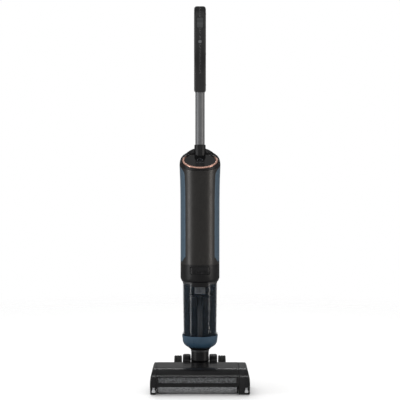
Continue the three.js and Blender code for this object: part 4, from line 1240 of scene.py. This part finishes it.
# pieces that stay as they are in the frame, inside or underneath, with a finish of their own
keptFinishes = {
    "base_plate": blackAbs, "drive_plate": blackAbs, "scraper_blade": tyreRubber, "spray_bar": greyAbs,
    "suction_duct": greyAbs, "brush_motor": turnedSteel, "drive_belt": tyreRubber,
    "motor_pulley": turnedSteel, "roller_core": greyAbs, "roller_pulley": greyAbs,
    "hinge_pin": turnedSteel, "rear_axle": turnedSteel, "suction_motor": turnedSteel,
    "impeller": castAluminium, "battery_pack": batteryWrap, "circuit_board": boardGreen,
    "water_pump": greyAbs, "release_spring": turnedSteel,
}
for nodeName, nodeFinish in keptFinishes.items():
    keepNode(nodeName, nodeFinish)


# stage, light and camera

studio = {
    "floorRadius": 2.6, "floorFade": (0.9, 2.4), "floorColour": "ebebeb",
    "worldSeen": 1.0, "worldLight": 0.55, "worldShine": 0.2,
}


def buildFloor():
    bm = bmesh.new()
    bmesh.ops.create_circle(bm, cap_ends=True, radius=studio["floorRadius"], segments=128)
    mesh = bpy.data.meshes.new("studioFloor")
    bm.to_mesh(mesh)
    bm.free()
    ground = bpy.data.objects.new("studioFloor", mesh)
    bpy.context.scene.collection.objects.link(ground)
    material, place = emptyMaterial("pale painted floor")
    far = addNode(material, "VectorMath", {0: place}, operation="LENGTH").outputs["Value"]
    near, edge = studio["floorFade"]
    alpha = spread(material, far, 1, 0, near, edge)
    close(material, {"Base Color": linear(studio["floorColour"]), "Roughness": 0.7, "Alpha": alpha})
    mesh.materials.append(material)
    ground.visible_glossy = False  # so the blacks stay black above it


def buildWorld():
    world = bpy.data.worlds.new("studio")
    bpy.context.scene.world = world
    world.use_nodes = True
    world.node_tree.nodes.clear()
    path = addNode(world, "LightPath").outputs
    shine = spread(world, path["Is Glossy Ray"], studio["worldLight"], studio["worldShine"], 0, 1)
    strength = addNode(world, "Mix", {0: path["Is Camera Ray"], 2: shine, 3: studio["worldSeen"]}).outputs[0]
    background = addNode(world, "Background", {"Color": (1, 1, 1, 1), "Strength": strength})
    addNode(world, "OutputWorld", {"Surface": background.outputs[0]})


lights = {  # name: place, target, size, watts, colour
    "leftStrip": ((-2.3, -1.0, 0.6), (0, 0, 0.5), (0.6, 1.9), 22, (1.0, 1.0, 1.0)),
    "rightStrip": ((2.3, -1.0, 0.6), (0, 0, 0.5), (0.6, 1.9), 18, (1.0, 0.95, 0.9)),
    "highFront": ((0, -1.5, 1.75), (0, 0, 0.1), (1.6, 0.16), 5, (1.0, 1.0, 1.0)),
    "highBack": ((0, 1.4, 1.5), (0, 0, 0.1), (1.6, 0.16), 5, (1.0, 1.0, 1.0)),
}
overhead = {"tilt": (-22, -12, 0), "strength": 2.1, "spread": 62}


def buildOverhead():  # one very wide, soft source that lights the floor but shows in no shiny surface
    lamp = bpy.data.lights.new("overhead", "SUN")
    lamp.energy = overhead["strength"]
    lamp.angle = math.radians(overhead["spread"])
    obj = bpy.data.objects.new("overhead", lamp)
    obj.rotation_euler = [math.radians(a) for a in overhead["tilt"]]
    obj.visible_glossy = False
    bpy.context.scene.collection.objects.link(obj)


def buildLights():
    for name, (place, target, size, watts, colour) in lights.items():
        lamp = bpy.data.lights.new(name, "AREA")
        lamp.shape = "RECTANGLE"
        lamp.size, lamp.size_y = size
        lamp.energy = watts
        lamp.color = colour
        obj = bpy.data.objects.new(name, lamp)
        obj.location = place
        obj.rotation_euler = (Vector(target) - Vector(place)).to_track_quat("-Z", "Y").to_euler()
        bpy.context.scene.collection.objects.link(obj)


viewpoint = {"place": (0.0, -3.038, 0.609), "tiltDown": 1.3, "lens": 95, "sensor": 36}


def buildCamera():
    lens = bpy.data.cameras.new("camera")
    lens.lens = viewpoint["lens"]
    lens.sensor_width = viewpoint["sensor"]
    lens.clip_start = 0.05
    camera = bpy.data.objects.new("camera", lens)
    camera.location = viewpoint["place"]
    camera.rotation_euler = (math.radians(90 - viewpoint["tiltDown"]), 0, 0)
    bpy.context.scene.collection.objects.link(camera)
    bpy.context.scene.camera = camera


buildFloor()
buildWorld()
buildOverhead()
buildLights()
buildCamera()
bpy.context.scene.view_settings.view_transform = "Standard"
print("studio made")
